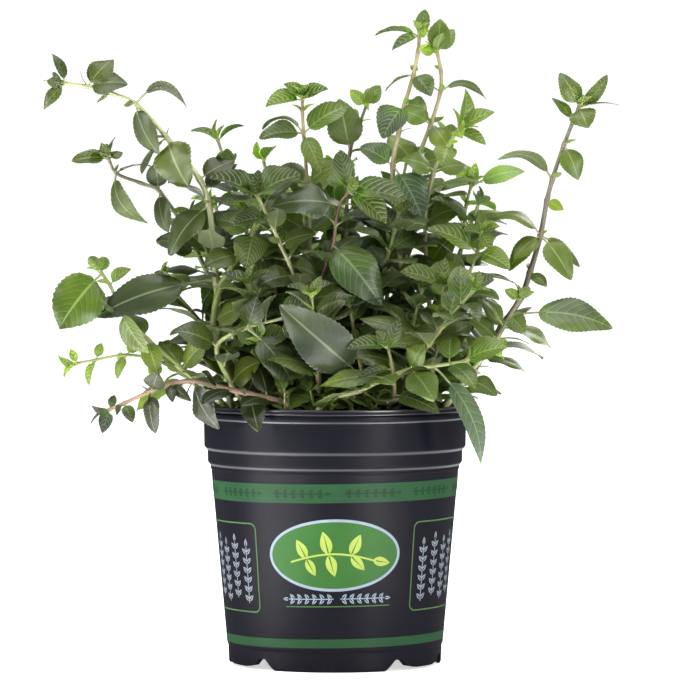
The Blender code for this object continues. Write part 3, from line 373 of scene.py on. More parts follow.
def stem_shell(stem, margin):
    """A square tube round a stem, to keep leaves clear of it."""
    points, faces = [], []
    line = stem_line(stem.stops, STEM_SPACING)
    for i, point in enumerate(line):
        half = stem.radius * (1 - (1 - STEM_TIP_SHARE) * i / len(line)) + margin
        along = line[min(i + 1, len(line) - 1)] - line[max(i - 1, 0)]
        side = along.cross(Vector((0.3, 1, 0))).normalized()
        lift = along.cross(side).normalized()
        for across, over in ((-1, -1), (1, -1), (1, 1), (-1, 1)):
            points.append(point + (side * across + lift * over) * half)
    for ring in range(0, len(points) - 4, 4):
        for corner in range(4):
            following = (corner + 1) % 4
            faces.append((ring + corner, ring + following, ring + following + 4, ring + corner + 4))
    return points, faces


def pot_guard():
    """A disc over the mix and a collar round the pot's rim and ledges, which leaves keep clear of."""
    inner, outer, top = RIM_RADIUS - 4 * MM, RIM_RADIUS + 1.2 * MM, POT_HEIGHT + 1.0 * MM
    disc, skirt_end = MIX_TOP + 1.0 * MM, BODY_TOP - 10 * MM
    outline = ((0, disc), (inner, disc), (inner, top), (outer, top), (outer, skirt_end))
    points, faces, sides = [], [], 36
    for k in range(sides):
        turn = Vector((math.cos(math.tau * k / sides), math.sin(math.tau * k / sides), 0))
        points += [turn * radius + Vector((0, 0, height)) for radius, height in outline]
    for k in range(sides):
        for corner in range(4):
            here, there = 5 * k + corner, 5 * ((k + 1) % sides) + corner
            faces.append((here, there, there + 1, here + 1))
    return points, faces


class Thicket:
    """All that has grown so far, to test a new stem or leaf against. Each face knows the stem it is on."""

    def __init__(self):
        self.points, self.faces, self.owners, self.tree = [], [], [], None

    def add(self, shell, owner):
        points, faces = shell
        first = len(self.points)
        self.points += points
        self.faces += [tuple(first + corner for corner in face) for face in faces]
        self.owners += [owner] * len(faces)
        self.tree = BVHTree.FromPolygons(self.points, self.faces)

    def touched(self, shell):
        """The owners of all that a shell touches."""
        return {self.owners[hit[0]] for hit in self.tree.overlap(BVHTree.FromPolygons(*shell))}

    def has_room(self, leaf, stem, radius):
        """Is the leaf clear of other stems and their leaves, and its blade of its own stem's leaves?"""
        whole = self.touched(leaf_shell(leaf, share_inside(leaf, radius), CLEARANCE))
        blade = self.touched(leaf_shell(leaf, 0.98 * leaf.petiole, 0.5 * CLEARANCE))
        return whole <= {stem.name, stem.name + " leaf"} and stem.name + " leaf" not in blade


def leaf_changes():
    """Turns and tilts (degrees) and sizes that a leaf may take to find room, the smallest change first."""
    changes = [
        (turn, tilt, size)
        for turn in (0, 9, -9, 18, -18, 30, -30, 45, -45, 65, -65)
        for tilt in (0, 8, -8, 16, -16, 28, -28, 42, -42)
        for size in (1.0, 0.88, 0.76)
    ]
    return sorted(changes, key=lambda change: abs(change[0]) + abs(change[1]) + 120 * (1 - change[2]))


def fitted_leaf(leaf, stem, radius, thicket, changes):
    """The leaf as it fits on a stem of this radius, or None where there is no room for it."""
    side = leaf.reach.cross(leaf.face).normalized()
    for turn, tilt, size in changes:
        turned_by = Matrix.Rotation(math.radians(turn), 3, leaf.face)
        swing = turned_by @ Matrix.Rotation(math.radians(tilt), 3, side)
        reach, width = swing @ leaf.reach * size, leaf.width * size
        tried = leaf._replace(reach=reach, width=width, face=swing @ leaf.face)
        if thicket.has_room(tried, stem, radius):
            thicket.add(leaf_shell(tried, share_inside(tried, radius)), stem.name + " leaf")
            return tried
    return None


def clear_fill_stem(arc, place, thicket):
    """The fill stem, turned round the pot or stood up a little if something is in its way."""
    nudges = sorted(range(-24, 28, 4), key=abs)
    eases = (1.0, 0.8, 1.2, 0.6, 1.4, 0.4)
    tries = (fill_stem(arc, place, nudge, ease) for ease in eases for nudge in nudges)
    return next((stem for stem in tries if thicket.touched(stem_shell(stem, 4 * GAP)) <= {"pot"}), None)


def with_fitted_leaves(stems, thicket):
    """The stems, each with those of its leaves that found room. The largest leaves come first."""
    changes = leaf_changes()
    fitted = {stem.name: [] for stem in stems}
    waiting = [(leaf, stem) for stem in stems for leaf in stem.leaves]
    for leaf, stem in sorted(waiting, key=lambda pair: -pair[0].reach.length * pair[0].width):
        found = fitted_leaf(leaf, stem, stem_radius(stem, leaf.base), thicket, changes)
        if found:
            fitted[stem.name].append(found)
    return [stem._replace(leaves=fitted[stem.name]) for stem in stems]


def grow(thicket):
    """Every stem with its leaves: the planned ones first, then those that fill the room between them."""
    thicket.add(pot_guard(), "pot")
    planned = [planned_stem(name) for name in PLAN]
    for stem in planned:
        thicket.add(stem_shell(stem, GAP), stem.name)
    planned = with_fitted_leaves(planned, thicket)
    filling = []
    for arc in range(len(FILL_ARCS)):
        for place in range(FILL_ARCS[arc][0]):
            stem = clear_fill_stem(arc, place, thicket)
            if stem:
                thicket.add(stem_shell(stem, GAP), stem.name)
                filling.append(stem)
    return planned + with_fitted_leaves(filling, thicket)


# ---------------------------------------------------------------- leaves that only show

def turned_from(direction, turn):
    """A unit vector across a direction, turned round it by an angle in degrees."""
    side = direction.cross(Vector((0.13, 0.99, 0.08))).normalized()
    return Matrix.Rotation(math.radians(turn), 3, direction) @ side


def young_leaves(stem, chance):
    """The small pairs round a stem's tip and in the axils of its leaves."""
    grown = []
    tip = stem.stops[-1]
    growing = (tip - stem.stops[-2]).normalized()
    start = chance.uniform(0, 180)
    size = 0.75 if "fill" in stem.name else 1.0
    for level, (length, spread) in enumerate(TIP_PAIRS):
        for side in (0, 180):
            across = turned_from(growing, start + 90 * level + side + chance.uniform(-14, 14))
            reach = (growing + across * spread).normalized() * length * size
            reach = reach * chance.uniform(0.85, 1.15) * MM
            base = tip + growing * (0.5 - 0.5 * level) * MM
            grown.append(Leaf(base, reach, reach.length * 0.52, growing - across * 0.4, 0.1, 0.08))
    for stop, after in zip(stem.stops[1:-1], stem.stops[2:]):
        growing = (after - stop).normalized()
        start = chance.uniform(0, 180)
        for side in (0, 180):
            if chance.random() < BARE_AXILS:
                continue
            across = turned_from(growing, start + side + chance.uniform(-20, 20))
            reach = (growing * 0.7 + across).normalized() * chance.uniform(4.0, 8.5) * MM
            grown.append(Leaf(stop, reach, reach.length * 0.5, growing - across * 0.3, 0.16, 0.08))
    return grown


def between_leaves(stem, thicket, chance):
    """Pairs of leaves between the stops of a stem, wherever there is room for one inside the bush."""
    grown = []
    changes = leaf_changes()[:40]
    for stop, after in zip(stem.stops[:-1], stem.stops[1:]):
        growing = (after - stop).normalized()
        pairs = int((after - stop).length / PAIR_SPACING)
        for pair in range(1, pairs + 1):
            base = stop.lerp(after, pair / (pairs + 1))
            if not (BUSH_LEFT < base.x < BUSH_RIGHT and BUSH_LOW < base.z < BUSH_HIGH):
                continue
            start = chance.uniform(0, 180)
            for side in (0, 180):
                across = turned_from(growing, start + side)
                length = chance.uniform(15, 27) * MM
                reach = (across + growing * 0.35 + Vector((0, 0, 0.1))).normalized() * length
                toward = Vector((0, -0.3, 1)) + across * 0.25
                leaf = Leaf(base, reach, length * chance.uniform(0.5, 0.62), toward, PETIOLE_SHARE, ARCH)
                leaf = fitted_leaf(leaf, stem, stem.radius, thicket, changes)
                if leaf:
                    grown.append(leaf)
    return grown


# ---------------------------------------------------------------- meshes from grids of points

def placed(name, data):
    """An object of this name in the scene."""
    made = bpy.data.objects.new(name, data)
    bpy.context.scene.collection.objects.link(made)
    return made


def spot_on_disc(radius, chance):
    """A random place (x, y) on a disc, every part of it as likely as any other."""
    reach, turn = radius * math.sqrt(chance.random()), chance.uniform(0, math.tau)
    return reach * math.cos(turn), reach * math.sin(turn)


class Sheets:
    """Gathers grids of points into one mesh, with a slot, a map and a tint for each grid."""

    def __init__(self):
        self.count = 0
        self.points, self.faces, self.slots, self.maps, self.tints = [], [], [], [], []

    def add(self, grid, slot, tint, mapped, closed=False, flip=False):
        """A grid of points with a map of its own. closed joins its first and last column."""
        rows, columns = grid.shape[:2]
        index = self.count + np.arange(rows * columns).reshape(rows, columns)
        if closed:
            index = np.concatenate([index, index[:, :1]], axis=1)
        corners = [index[:-1, :-1], index[:-1, 1:], index[1:, 1:], index[1:, :-1]]
        faces = np.stack(corners[::-1] if flip else corners, axis=-1).reshape(-1, 4)
        self.points.append(grid.reshape(-1, 3))
        self.faces.append(faces)
        self.slots.append(np.full(len(faces), slot, np.int32))
        self.maps.append(mapped.reshape(-1, 2))
        tint = np.broadcast_to(np.asarray(tint, float), (rows, columns, 4))
        self.tints.append(tint.reshape(-1, 4))
        self.count += rows * columns

    def object(self, name, materials):
        """The mesh of all the grids, as an object with a map named growth and a colour named tint."""
        mesh = bpy.data.meshes.new(name)
        faces = np.concatenate(self.faces)
        mesh.from_pydata(np.concatenate(self.points), [], faces)
        mesh.polygons.foreach_set("material_index", np.concatenate(self.slots))
        mesh.polygons.foreach_set("use_smooth", np.ones(len(faces), bool))
        places = np.concatenate(self.maps)[faces.reshape(-1)]
        mesh.uv_layers.new(name="growth").data.foreach_set("uv", places.reshape(-1))
        tints = mesh.color_attributes.new("tint", "FLOAT_COLOR", "POINT")
        tints.data.foreach_set("color", np.concatenate(self.tints).reshape(-1))
        for material in materials:
            mesh.materials.append(material)
        return placed(name, mesh)


def flat_map(rows, columns):
    """A plain map: across 0 to 1, along 0 to 1."""
    across, along = np.meshgrid(np.linspace(0, 1, columns), np.linspace(0, 1, rows))
    return np.stack([across, along], axis=-1)


# ---------------------------------------------------------------- the plant

STEM_SLOT, UPPER_SLOT, UNDER_SLOT = 0, 1, 2
BROADER = 1.09  # a leaf's width over the width of its plain form in the frame
BIG_LEAF = 30 * MM  # leaves curl and thicken with their length up to this one
BLADE_EDGE = 0.22 * MM  # the blade's thickness away from its midrib
MIDRIB = 0.55 * MM  # what the midrib adds to it
GROOVE = 0.012  # the depth of the groove over the midrib, as a share of the leaf's width
TOOTH_POINT = 0.82  # how far along a tooth its point is
VEIN_RISE, VEIN_BEND = 0.62, 1.7  # how side veins run on towards the tip, more so near the edge
VEIN_SHIFT = 0.15  # side veins on one side start a little ahead of those on the other
STEM_SIDES = 12
NODE_BROWN = (0.12, 0.078, 0.042)  # the rings of a stem where its leaves grow
YOUNG_BASE = (0.12, 0.23, 0.016)  # the foot of a young blade
Bends = namedtuple("Bends", "curl fold camber twist wave phase")


def leaf_size(length):
    """(teeth along an edge, columns across, side veins) for a leaf of this length."""
    if length < 8 * MM:
        return 4, 5, 3
    if length < 15 * MM:
        return 7, 7, 5
    if length < BIG_LEAF:
        return 11, 9, 7
    return 17, 11, 8


def spine(leaf, bends, share, rib):
    """Points of a leaf's midrib, and the directions across and above it.

    Share is the share of the reach, and rib that of the blade alone, below zero on the petiole.
    """
    length = leaf.reach.length
    along = leaf.reach / length
    up = (leaf.face - along * leaf.face.dot(along)).normalized()
    along, up, side = np.array(along), np.array(up), np.array(along.cross(up))
    rib = np.maximum(rib, 0)
    rise = leaf.arch * 4 * share * (1 - share) - bends.curl * rib**3
    slope = leaf.arch * 4 * (1 - 2 * share) - 3 * bends.curl * rib**2
    middle = np.array(leaf.base) + along * (length * share)[:, None] + up * (length * rise)[:, None]
    lift = up - along * slope[:, None]
    lift /= np.linalg.norm(lift, axis=1)[:, None]
    angle = (bends.twist * rib)[:, None]
    sideways = side * np.cos(angle) + lift * np.sin(angle)
    return middle, sideways, lift * np.cos(angle) - side * np.sin(angle)


def blade_grid(leaf, bends, quilt, big):
    """The upper and under side of a toothed and quilted blade, its map, and the shares of its rows."""
    teeth, columns, veins = leaf_size(leaf.reach.length)
    # The rows are the notches and points of the teeth, and the columns are closer together near the edges.
    steps = np.array([(k + f) / teeth for k in range(teeth) for f in (0.0, TOOTH_POINT)] + [1.0])
    steps[0] = 0.004
    across = np.linspace(-1, 1, columns)
    across = np.sign(across) * np.abs(across) ** 0.9
    rib, out = steps[:, None], across[None, :]
    outline = np.sin(np.pi * np.clip(steps, 0, 1) ** BLADE_SKEW) ** (0.78 - 0.12 * big)
    neck = PETIOLE_RADIUS * 0.5 * (1 - steps) + 0.05 * MM
    half = np.maximum(BROADER * leaf.width / 2 * outline, neck)[:, None]
    tooth = np.array([-1.0, 1.0] * teeth + [0.0]) * (0.042 - 0.012 * big)
    edge = 1 + tooth[:, None] * np.abs(out) ** 5
    middle, sideways, lift = spine(leaf, bends, leaf.petiole + (1 - leaf.petiole) * steps, steps)
    away = half * np.abs(out) / (leaf.reach.length * (1 - leaf.petiole))
    vein = veins * (rib - VEIN_RISE * away - VEIN_BEND * away**2) + np.where(out > 0, VEIN_SHIFT, 0.0)

    # Between the veins the blade bulges, and it waves towards its edges.
    bulge = quilt * np.sin(np.pi * vein) ** 2 * np.abs(out) ** 0.6 * (1 - np.abs(out) ** 4)
    bulge = bulge * outline[:, None]
    ripple = np.sin(math.tau * 1.5 * rib + bends.phase + 1.5 * out) * np.abs(out) ** 2
    groove = GROOVE * leaf.width * np.exp(-((out / 0.12) ** 2)) * (1 - rib)
    folded = half * (bends.fold * np.abs(out) - bends.camber * out**2)
    height = folded + leaf.width * bends.wave * ripple + bulge - groove
    spread = half * out * edge * (1 - 0.35 * bends.fold)
    top = middle[:, None] + sideways[:, None] * spread[..., None] + lift[:, None] * height[..., None]
    midrib = MIDRIB * big * np.exp(-((out / 0.10) ** 2)) * (1 - rib)
    thick = (BLADE_EDGE + midrib) * (1 - np.abs(out) ** 6)
    under = top - lift[:, None] * thick[..., None]
    return top, under, np.stack([np.broadcast_to(out, vein.shape), vein], axis=-1), steps


def add_leaf(sheets, leaf, tint, petiole_tint, youth, chance):
    """One leaf: its blade as a thin closed sheet, and a petiole that takes on the blade's tint."""
    big = min(1.0, leaf.reach.length / BIG_LEAF)
    young = max(youth, 0)
    bends = Bends(
        curl=chance.uniform(0.0, 0.10) * big,
        fold=0.10 + 0.35 * young + chance.uniform(-0.06, 0.10),
        camber=chance.uniform(0.05, 0.30) * (1 - young),
        twist=chance.uniform(-0.25, 0.25) * big,
        wave=chance.uniform(0.02, 0.09) * big,
        phase=chance.uniform(0, math.tau),
    )
    top, under, mapped, steps = blade_grid(leaf, bends, (0.014 + 0.040 * young) * leaf.width, big)
    bright = 0.75 * young * np.exp(-((steps / 0.28) ** 2))[:, None, None]
    shade = (1 - bright) * np.array([*tint, youth]) + bright * np.array([*YOUNG_BASE, youth])
    shade = np.broadcast_to(shade, (*top.shape[:2], 4))
    sheets.add(top, UPPER_SLOT, shade, mapped)
    sheets.add(under, UNDER_SLOT, shade, mapped, flip=True)

    shares = np.linspace(0.0, leaf.petiole + 0.10 * (1 - leaf.petiole), 5)
    middle, sideways, lift = spine(leaf, bends, shares, (shares - leaf.petiole) / (1 - leaf.petiole))
    taper = np.array([1.25, 0.95, 0.85, 0.8, 0.45])[:, None, None]
    radius = PETIOLE_RADIUS * (0.55 + 0.45 * big) * taper
    turn = np.linspace(0, math.tau, 5, endpoint=False)[None, :, None]
    ring = sideways[:, None] * np.cos(turn) + lift[:, None] * (np.sin(turn) - 0.5)
    blend = np.linspace(0, 1, 5)[:, None, None]
    blade_tint = [1.25 * channel for channel in tint]
    shades = (1 - blend) * np.array([*petiole_tint, 0.0]) + blend * np.array([*blade_tint, 0.0])
    shades = np.broadcast_to(shades, (5, 5, 4))
    sheets.add(middle[:, None] + radius * ring, STEM_SLOT, shades, flat_map(5, 5), closed=True)


def add_stem(sheets, stem, low, high):
    """A square stem with rounded ridges, swollen where its leaves grow, from in the mix to its bud."""
    line = stem_line(stem.stops, 2.5 * MM)
    line[0] = line[0] - Vector((0, 0, 3 * MM))
    rows = len(line)
    turns = np.linspace(0, math.tau, STEM_SIDES, endpoint=False)
    outline = 0.80 + 0.26 * np.abs(np.cos(2 * turns)) ** 1.5
    across = Vector((1, 0, 0))
    grid = np.zeros((rows, STEM_SIDES, 3))
    mapped = np.zeros((rows, STEM_SIDES, 2))
    tint = np.zeros((rows, STEM_SIDES, 4))
    run = 0.0
    for i, point in enumerate(line):
        share = i / (rows - 1)
        along = (line[min(i + 1, rows - 1)] - line[max(i - 1, 0)]).normalized()
        across = (across - along * across.dot(along)).normalized()
        over = along.cross(across)
        near = min((point - stop).length for stop in stem.stops[1:])
        swell = 1 + 0.30 * math.exp(-((near / (1.6 * MM)) ** 2))
        radius = 1.12 * stem.radius * (1 - (1 - STEM_TIP_SHARE) * share) * swell
        if i == rows - 1:
            radius *= 0.2
        run += (point - line[max(i - 1, 0)]).length
        for k, turn in enumerate(turns):
            ray = across * math.cos(turn) + over * math.sin(turn)
            grid[i, k] = point + ray * (radius * outline[k])
            mapped[i, k] = (k / STEM_SIDES, run * 100)
        ring = 0.55 * math.exp(-((near / (2.2 * MM)) ** 2))
        tint[i] = (*mixed(mixed(low, high, share**1.6), NODE_BROWN, ring), 0.0)
    sheets.add(grid, STEM_SLOT, tint, mapped, closed=True)


GREEN = (0.17, 0.235, 0.060)
PALE = (0.34, 0.38, 0.19)
TAN = (0.27, 0.235, 0.115)
RUST = (0.30, 0.190, 0.135)
BROWN = (0.115, 0.072, 0.042)
DUSK = (0.046, 0.041, 0.025)
GREY = (0.135, 0.130, 0.092)
OLIVE = (0.125, 0.150, 0.038)

# For each planned stem: its colours at foot and tip, how bright and yellow its leaves are, how light they
# are, and how much smoother than usual. How light they are is partly painted light and shade, set stem by
# stem for the light that each part of the bush gets.
STEM_LOOKS = {
    "stem_left_arch": (PALE, PALE, 0.30, 0.48, 0.9), "stem_left_upper": (GREEN, GREY, 0.40, 0.45, 0.8),
    "stem_left_low": (GREEN, GREEN, 0.45, 0.76, 0.0), "stem_left_trailing": (GREEN, GREEN, 0.55, 1.4, 0.0),
    "runner_red": (BROWN, RUST, 0.15, 0.19, 0.3), "stem_left_olive": (OLIVE, GREEN, 0.1, 1.12, 0.0),
    "stem_centre_left": (TAN, PALE, 0.1, 0.52, 0.0), "stem_front_left": (GREEN, PALE, 0.0, 0.6, 0.0),
    "stem_centre_tall": (TAN, TAN, 0.15, 1.4, 0.0), "stem_centre": (BROWN, BROWN, 0.0, 0.92, 0.0),
    "stem_centre_back": (TAN, GREY, 0.0, 1.6, 0.3), "stem_top_left": (TAN, TAN, 0.05, 1.4, 0.0),
    "stem_top_right": (PALE, TAN, 0.20, 1.65, 0.9), "stem_right_upper": (TAN, PALE, 0.2, 1.5, 0.3),
    "stem_right_back": (GREEN, GREEN, 0.6, 1.5, 0.3), "stem_right_rosette": (TAN, GREEN, 0.25, 1.0, 0.0),
    "stem_right_tall": (DUSK, GREY, 0.15, 1.12, 0.9), "stem_right_low": (PALE, GREY, 0.22, 1.1, 0.3),
    "stem_front_right": (PALE, GREEN, 0.1, 1.75, 0.0), "stem_front_tall": (OLIVE, OLIVE, 0.15, 0.8, 0.0),
    "stem_front_short": (BROWN, OLIVE, 0.1, 0.55, 0.0), "stem_front_centre": (TAN, OLIVE, 0.0, 0.5, 0.0),
    "stem_front_low": (TAN, GREEN, 0.1, 1.4, 0.0),
}
# The same for a fill stem, without its foot. Its leaves take how light they are from light_lost.
FILL_LOOKS = (GREEN, 0.05, None, 0.0)
DULL, FRESH = (0.042, 0.057, 0.014), (0.060, 0.092, 0.013)
BRIGHT, BLUISH = (0.23, 0.32, 0.022), (0.051, 0.070, 0.026)

# Tint and youth of leaves that stand out, each the long one at a stop of its stem. With the youth below
# zero a blade is smooth, and its side veins are faint.
LEAF_LOOKS = {
    ("stem_left_arch", 2): ((0.029, 0.043, 0.014), -0.8),
    ("stem_left_low", 6): ((0.054, 0.093, 0.006), 0.0),
    ("stem_left_olive", 1): ((0.060, 0.088, 0.004), 0.0),
    ("stem_front_left", 1): ((0.062, 0.080, 0.002), -0.3),
    ("stem_front_centre", 2): ((0.032, 0.045, 0.023), -0.3),
    ("stem_centre", 3): ((0.052, 0.090, 0.022), 0.25),
    ("stem_centre", 4): ((0.036, 0.058, 0.018), -0.2),
    ("stem_top_left", 4): ((0.058, 0.096, 0.040), 0.6),
    ("stem_top_left", 6): ((0.040, 0.064, 0.026), 0.9),
    ("stem_right_back", 4): ((0.20, 0.31, 0.06), 0.0),
    ("stem_right_low", 3): ((0.068, 0.102, 0.024), 0.2),
    ("stem_front_right", 2): ((0.080, 0.112, 0.040), 0.1),
    ("stem_front_right", 5): ((0.100, 0.140, 0.070), 0.1),
}


def mixed(a, b, share):
    """One colour taken towards another by a share."""
    return tuple(x + (y - x) * share for x, y in zip(a, b))


def light_lost(place):
    """How much lighter a leaf is in itself, to make up for the light that it loses deep in the bush."""
    behind, below = place.y / (50 * MM), (150 * MM - place.z) / (50 * MM)
    return min(2.8, max(0.85, math.exp(0.40 + 1.0 * behind + 0.2 * below)))


def leaf_colours(leaf, stem, looks, chance):
    """(tint, youth) of a leaf: dull when large and low, quilted near its stem's tip, bright when tiny."""
    length = leaf.reach.length
    if length > 15 * MM and leaf.base in stem.stops:
        special = LEAF_LOOKS.get((stem.name, stem.stops.index(leaf.base)))
        if special:
            return special
    near_tip = max(0.0, 1 - (leaf.base - stem.stops[-1]).length / (24 * MM))
    glow, lightness, smoothness = looks
    youth = min(1.0, 0.12 + 0.9 * near_tip + chance.uniform(-0.1, 0.1)) * (1.0 if length < 25 * MM else 0.4)
    tint = mixed(mixed(DULL, BLUISH, chance.random()), FRESH, chance.random())
    tiny = min(1.0, max(0.0, 1.55 - length / (8 * MM)))
    tint = mixed(tint, BRIGHT, min(1.0, max(0.9 * tiny, glow * chance.uniform(0.5, 1.0))))
    # The leaves' lightness: for a planned stem partly painted light and shade, for a fill stem the painted
    # light of light_lost.
    value = chance.uniform(0.84, 1.18) * (lightness or light_lost(leaf.base))
    return tuple(value * channel for channel in tint), youth - smoothness


def make_plant(materials):
    """Each stem of the frame with its leaves, the small ones at its tip and those between its stops."""
    thicket = Thicket()
    for stem in grow(thicket):
        chance = random.Random(stem.name)
        fill_looks = (mixed(BROWN, OLIVE, chance.random()), *FILL_LOOKS)
        low, high, *looks = STEM_LOOKS.get(stem.name, fill_looks)
        sheets = Sheets()
        add_stem(sheets, stem, low, high)
        leaves = stem.leaves + young_leaves(stem, chance) + between_leaves(stem, thicket, chance)
        for leaf in leaves:
            tint, youth = leaf_colours(leaf, stem, looks, chance)
            add_leaf(sheets, leaf, tint, mixed(high, PALE, 0.5), youth, chance)
        obj = sheets.object("leafy_" + stem.name, materials)
        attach(obj, "root")
        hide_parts(stem.name)


def make_undergrowth(materials):
    """The low shoots and seedling leaves that crowd the mix between the stems."""
    chance = random.Random("undergrowth")
    sheets = Sheets()
    for _ in range(LOW_SHOOTS):
        foot = Vector((*spot_on_disc(SHOULDER_RADIUS - 7 * MM, chance), MIX_TOP))
        height = chance.uniform(3, 13) * MM
        lean = Vector((chance.uniform(-0.4, 0.4), chance.uniform(-0.4, 0.4), 1)).normalized()
        stops = [foot, foot + lean * height * 0.5, foot + lean * height + Vector((0, 0, height * 0.2))]
        shoot = Stem("shoot", chance.uniform(0.35, 0.6) * MM, stops, [])
        colour = mixed(OLIVE, GREEN, chance.random())
        add_stem(sheets, shoot, colour, colour)
        tint = mixed(FRESH, BRIGHT, chance.uniform(0.0, 0.3))
        for stop in stops[1:]:
            start = chance.uniform(0, 180)
            for side in (0, 180):
                across = turned_from(lean, start + side + chance.uniform(-25, 25))
                reach = (across + lean * chance.uniform(0.1, 0.7)).normalized()
                reach = reach * chance.uniform(4.5, 10) * MM
                width = reach.length * chance.uniform(0.5, 0.75)
                leaf = Leaf(stop, reach, width, lean - across * 0.2, 0.14, 0.08)
                add_leaf(sheets, leaf, tint, colour, 0.5, chance)
    obj = sheets.object("low_shoots", materials)
    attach(obj, "root")


# ---------------------------------------------------------------- materials

# Heights and half widths (mm) of the edges of the pot's ledges and beads that catch the light. Along them
# the plastic is glossier, and its colour is painted paler as a painted highlight.
PAINTED_HIGHLIGHT_EDGES = ((93.1, 0.8), (86.4, 0.7), (106.4, 0.5), (109.6, 0.5), (111.4, 0.6))


class Nodes:
    """A short way to write a material's nodes. A value is a number, a colour or another node's output."""

    def __init__(self, name):
        self.material = bpy.data.materials.new(name)
        self.material.use_nodes = True
        self.tree = self.material.node_tree
        self.shader = self.tree.nodes["Principled BSDF"]
        self.output = self.tree.nodes["Material Output"]

    def node(self, kind, inputs=None, **settings):
        made = self.tree.nodes.new(kind)
        for key, value in settings.items():
            setattr(made, key, value)
        for key, value in (inputs or {}).items():
            self.put(value, made.inputs[key])
        return made

    def put(self, value, socket):
        if isinstance(value, bpy.types.NodeSocket):
            self.tree.links.new(value, socket)
        else:
            socket.default_value = value

    def math(self, operation, a, b=0.0, c=0.0):
        made = self.node("ShaderNodeMath", operation=operation)
        for value, socket in zip((a, b, c), made.inputs):
            self.put(value, socket)
        return made.outputs[0]

    def ramp(self, value, low, high):
        """0 at low to 1 at high, smoothly."""
        made = self.node("ShaderNodeMapRange", interpolation_type="SMOOTHSTEP")
        self.put(value, made.inputs["Value"])
        self.put(low, made.inputs["From Min"])
        self.put(high, made.inputs["From Max"])
        return made.outputs["Result"]

    def spread(self, value, low, high):
        """0 to 1 spread over low to high."""
        made = self.node("ShaderNodeMapRange")
        self.put(value, made.inputs["Value"])
        self.put(low, made.inputs["To Min"])
        self.put(high, made.inputs["To Max"])
        return made.outputs["Result"]

    def mix(self, share, a, b, blend="MIX"):
        made = self.node("ShaderNodeMix", data_type="RGBA", blend_type=blend)
        for value, socket in zip((share, a, b), (made.inputs[0], made.inputs[6], made.inputs[7])):
            self.put(value, socket)
        return made.outputs[2]

    def product(self, a, b):
        return self.math("MULTIPLY", a, b)

    def scaled(self, value, factor, offset):
        return self.math("MULTIPLY_ADD", value, factor, offset)

    def larger(self, a, b):
        return self.math("MAXIMUM", a, b)

    def toned(self, colour, tone):
        """The colour times a tone, channel by channel."""
        return self.mix(1.0, colour, (*tone, 1), "MULTIPLY")

    def mottled(self, share, colour, low, high):
        """The colour between two tones of itself."""
        return self.mix(share, self.toned(colour, low), self.toned(colour, high))

    def tint(self):
        """The colour and the fourth number that each point of a mesh carries."""
        made = self.node("ShaderNodeAttribute", attribute_name="tint")
        return made.outputs["Color"], made.outputs["Alpha"]

    def growth(self):
        """The map of a leaf or a stem."""
        return self.node("ShaderNodeUVMap", uv_map="growth").outputs["UV"]

    def noise(self, scale, detail=2.0, vector=None, roughness=0.5):
        made = self.node("ShaderNodeTexNoise")
        self.put(scale, made.inputs["Scale"])
        self.put(detail, made.inputs["Detail"])
        self.put(roughness, made.inputs["Roughness"])
        self.put(vector or self.place(), made.inputs["Vector"])
        return made.outputs["Fac"]

    def place(self):
        """The point's own coordinates, in metres."""
        return self.node("ShaderNodeTexCoord").outputs["Object"]

    def bump(self, height, strength, distance):
        made = self.node("ShaderNodeBump", {"Strength": strength, "Distance": distance, "Height": height})
        return made.outputs["Normal"]

    def gloss(self, weight):
        """A clear gloss over a body that has none of its own."""
        self.finish(Specular_IOR_Level=0.0, Coat_IOR=2.2, Coat_Roughness=0.30, Coat_Weight=weight)

    def finish(self, **inputs):
        for key, value in inputs.items():
            self.put(value, self.shader.inputs[key.replace("_", " ")])
        return self.material


def leaf_pattern(nodes, youth):
    """Shares of midrib, side vein, shadow beside it and raised field, and the way out to the edge.

    The map has the way out to the edge, and counts the side veins.
    """
    split = nodes.node("ShaderNodeSeparateXYZ", {"Vector": nodes.growth()})
    out = nodes.math("ABSOLUTE", split.outputs["X"])
    turn = nodes.math("FRACT", nodes.scaled(nodes.noise(260.0), 0.30, split.outputs["Y"]))
    phase = nodes.math("ABSOLUTE", nodes.math("SUBTRACT", turn, 0.5))
    broad_vein = nodes.product(nodes.ramp(phase, 0.33, 0.46), nodes.scaled(youth, 0.70, -0.06))
    thin_vein = nodes.product(nodes.ramp(phase, 0.40, 0.48), nodes.scaled(youth, 0.55, 0.21))
    side_vein = nodes.product(nodes.larger(broad_vein, thin_vein), nodes.ramp(out, 1.0, 0.85))
    shadow = nodes.product(nodes.ramp(turn, 0.48, 0.18), nodes.ramp(out, 0.03, 0.15))
    field = nodes.product(nodes.ramp(phase, 0.47, 0.12), nodes.ramp(out, 0.0, 0.15))
    return nodes.ramp(out, 0.075, 0.02), side_vein, shadow, field, out


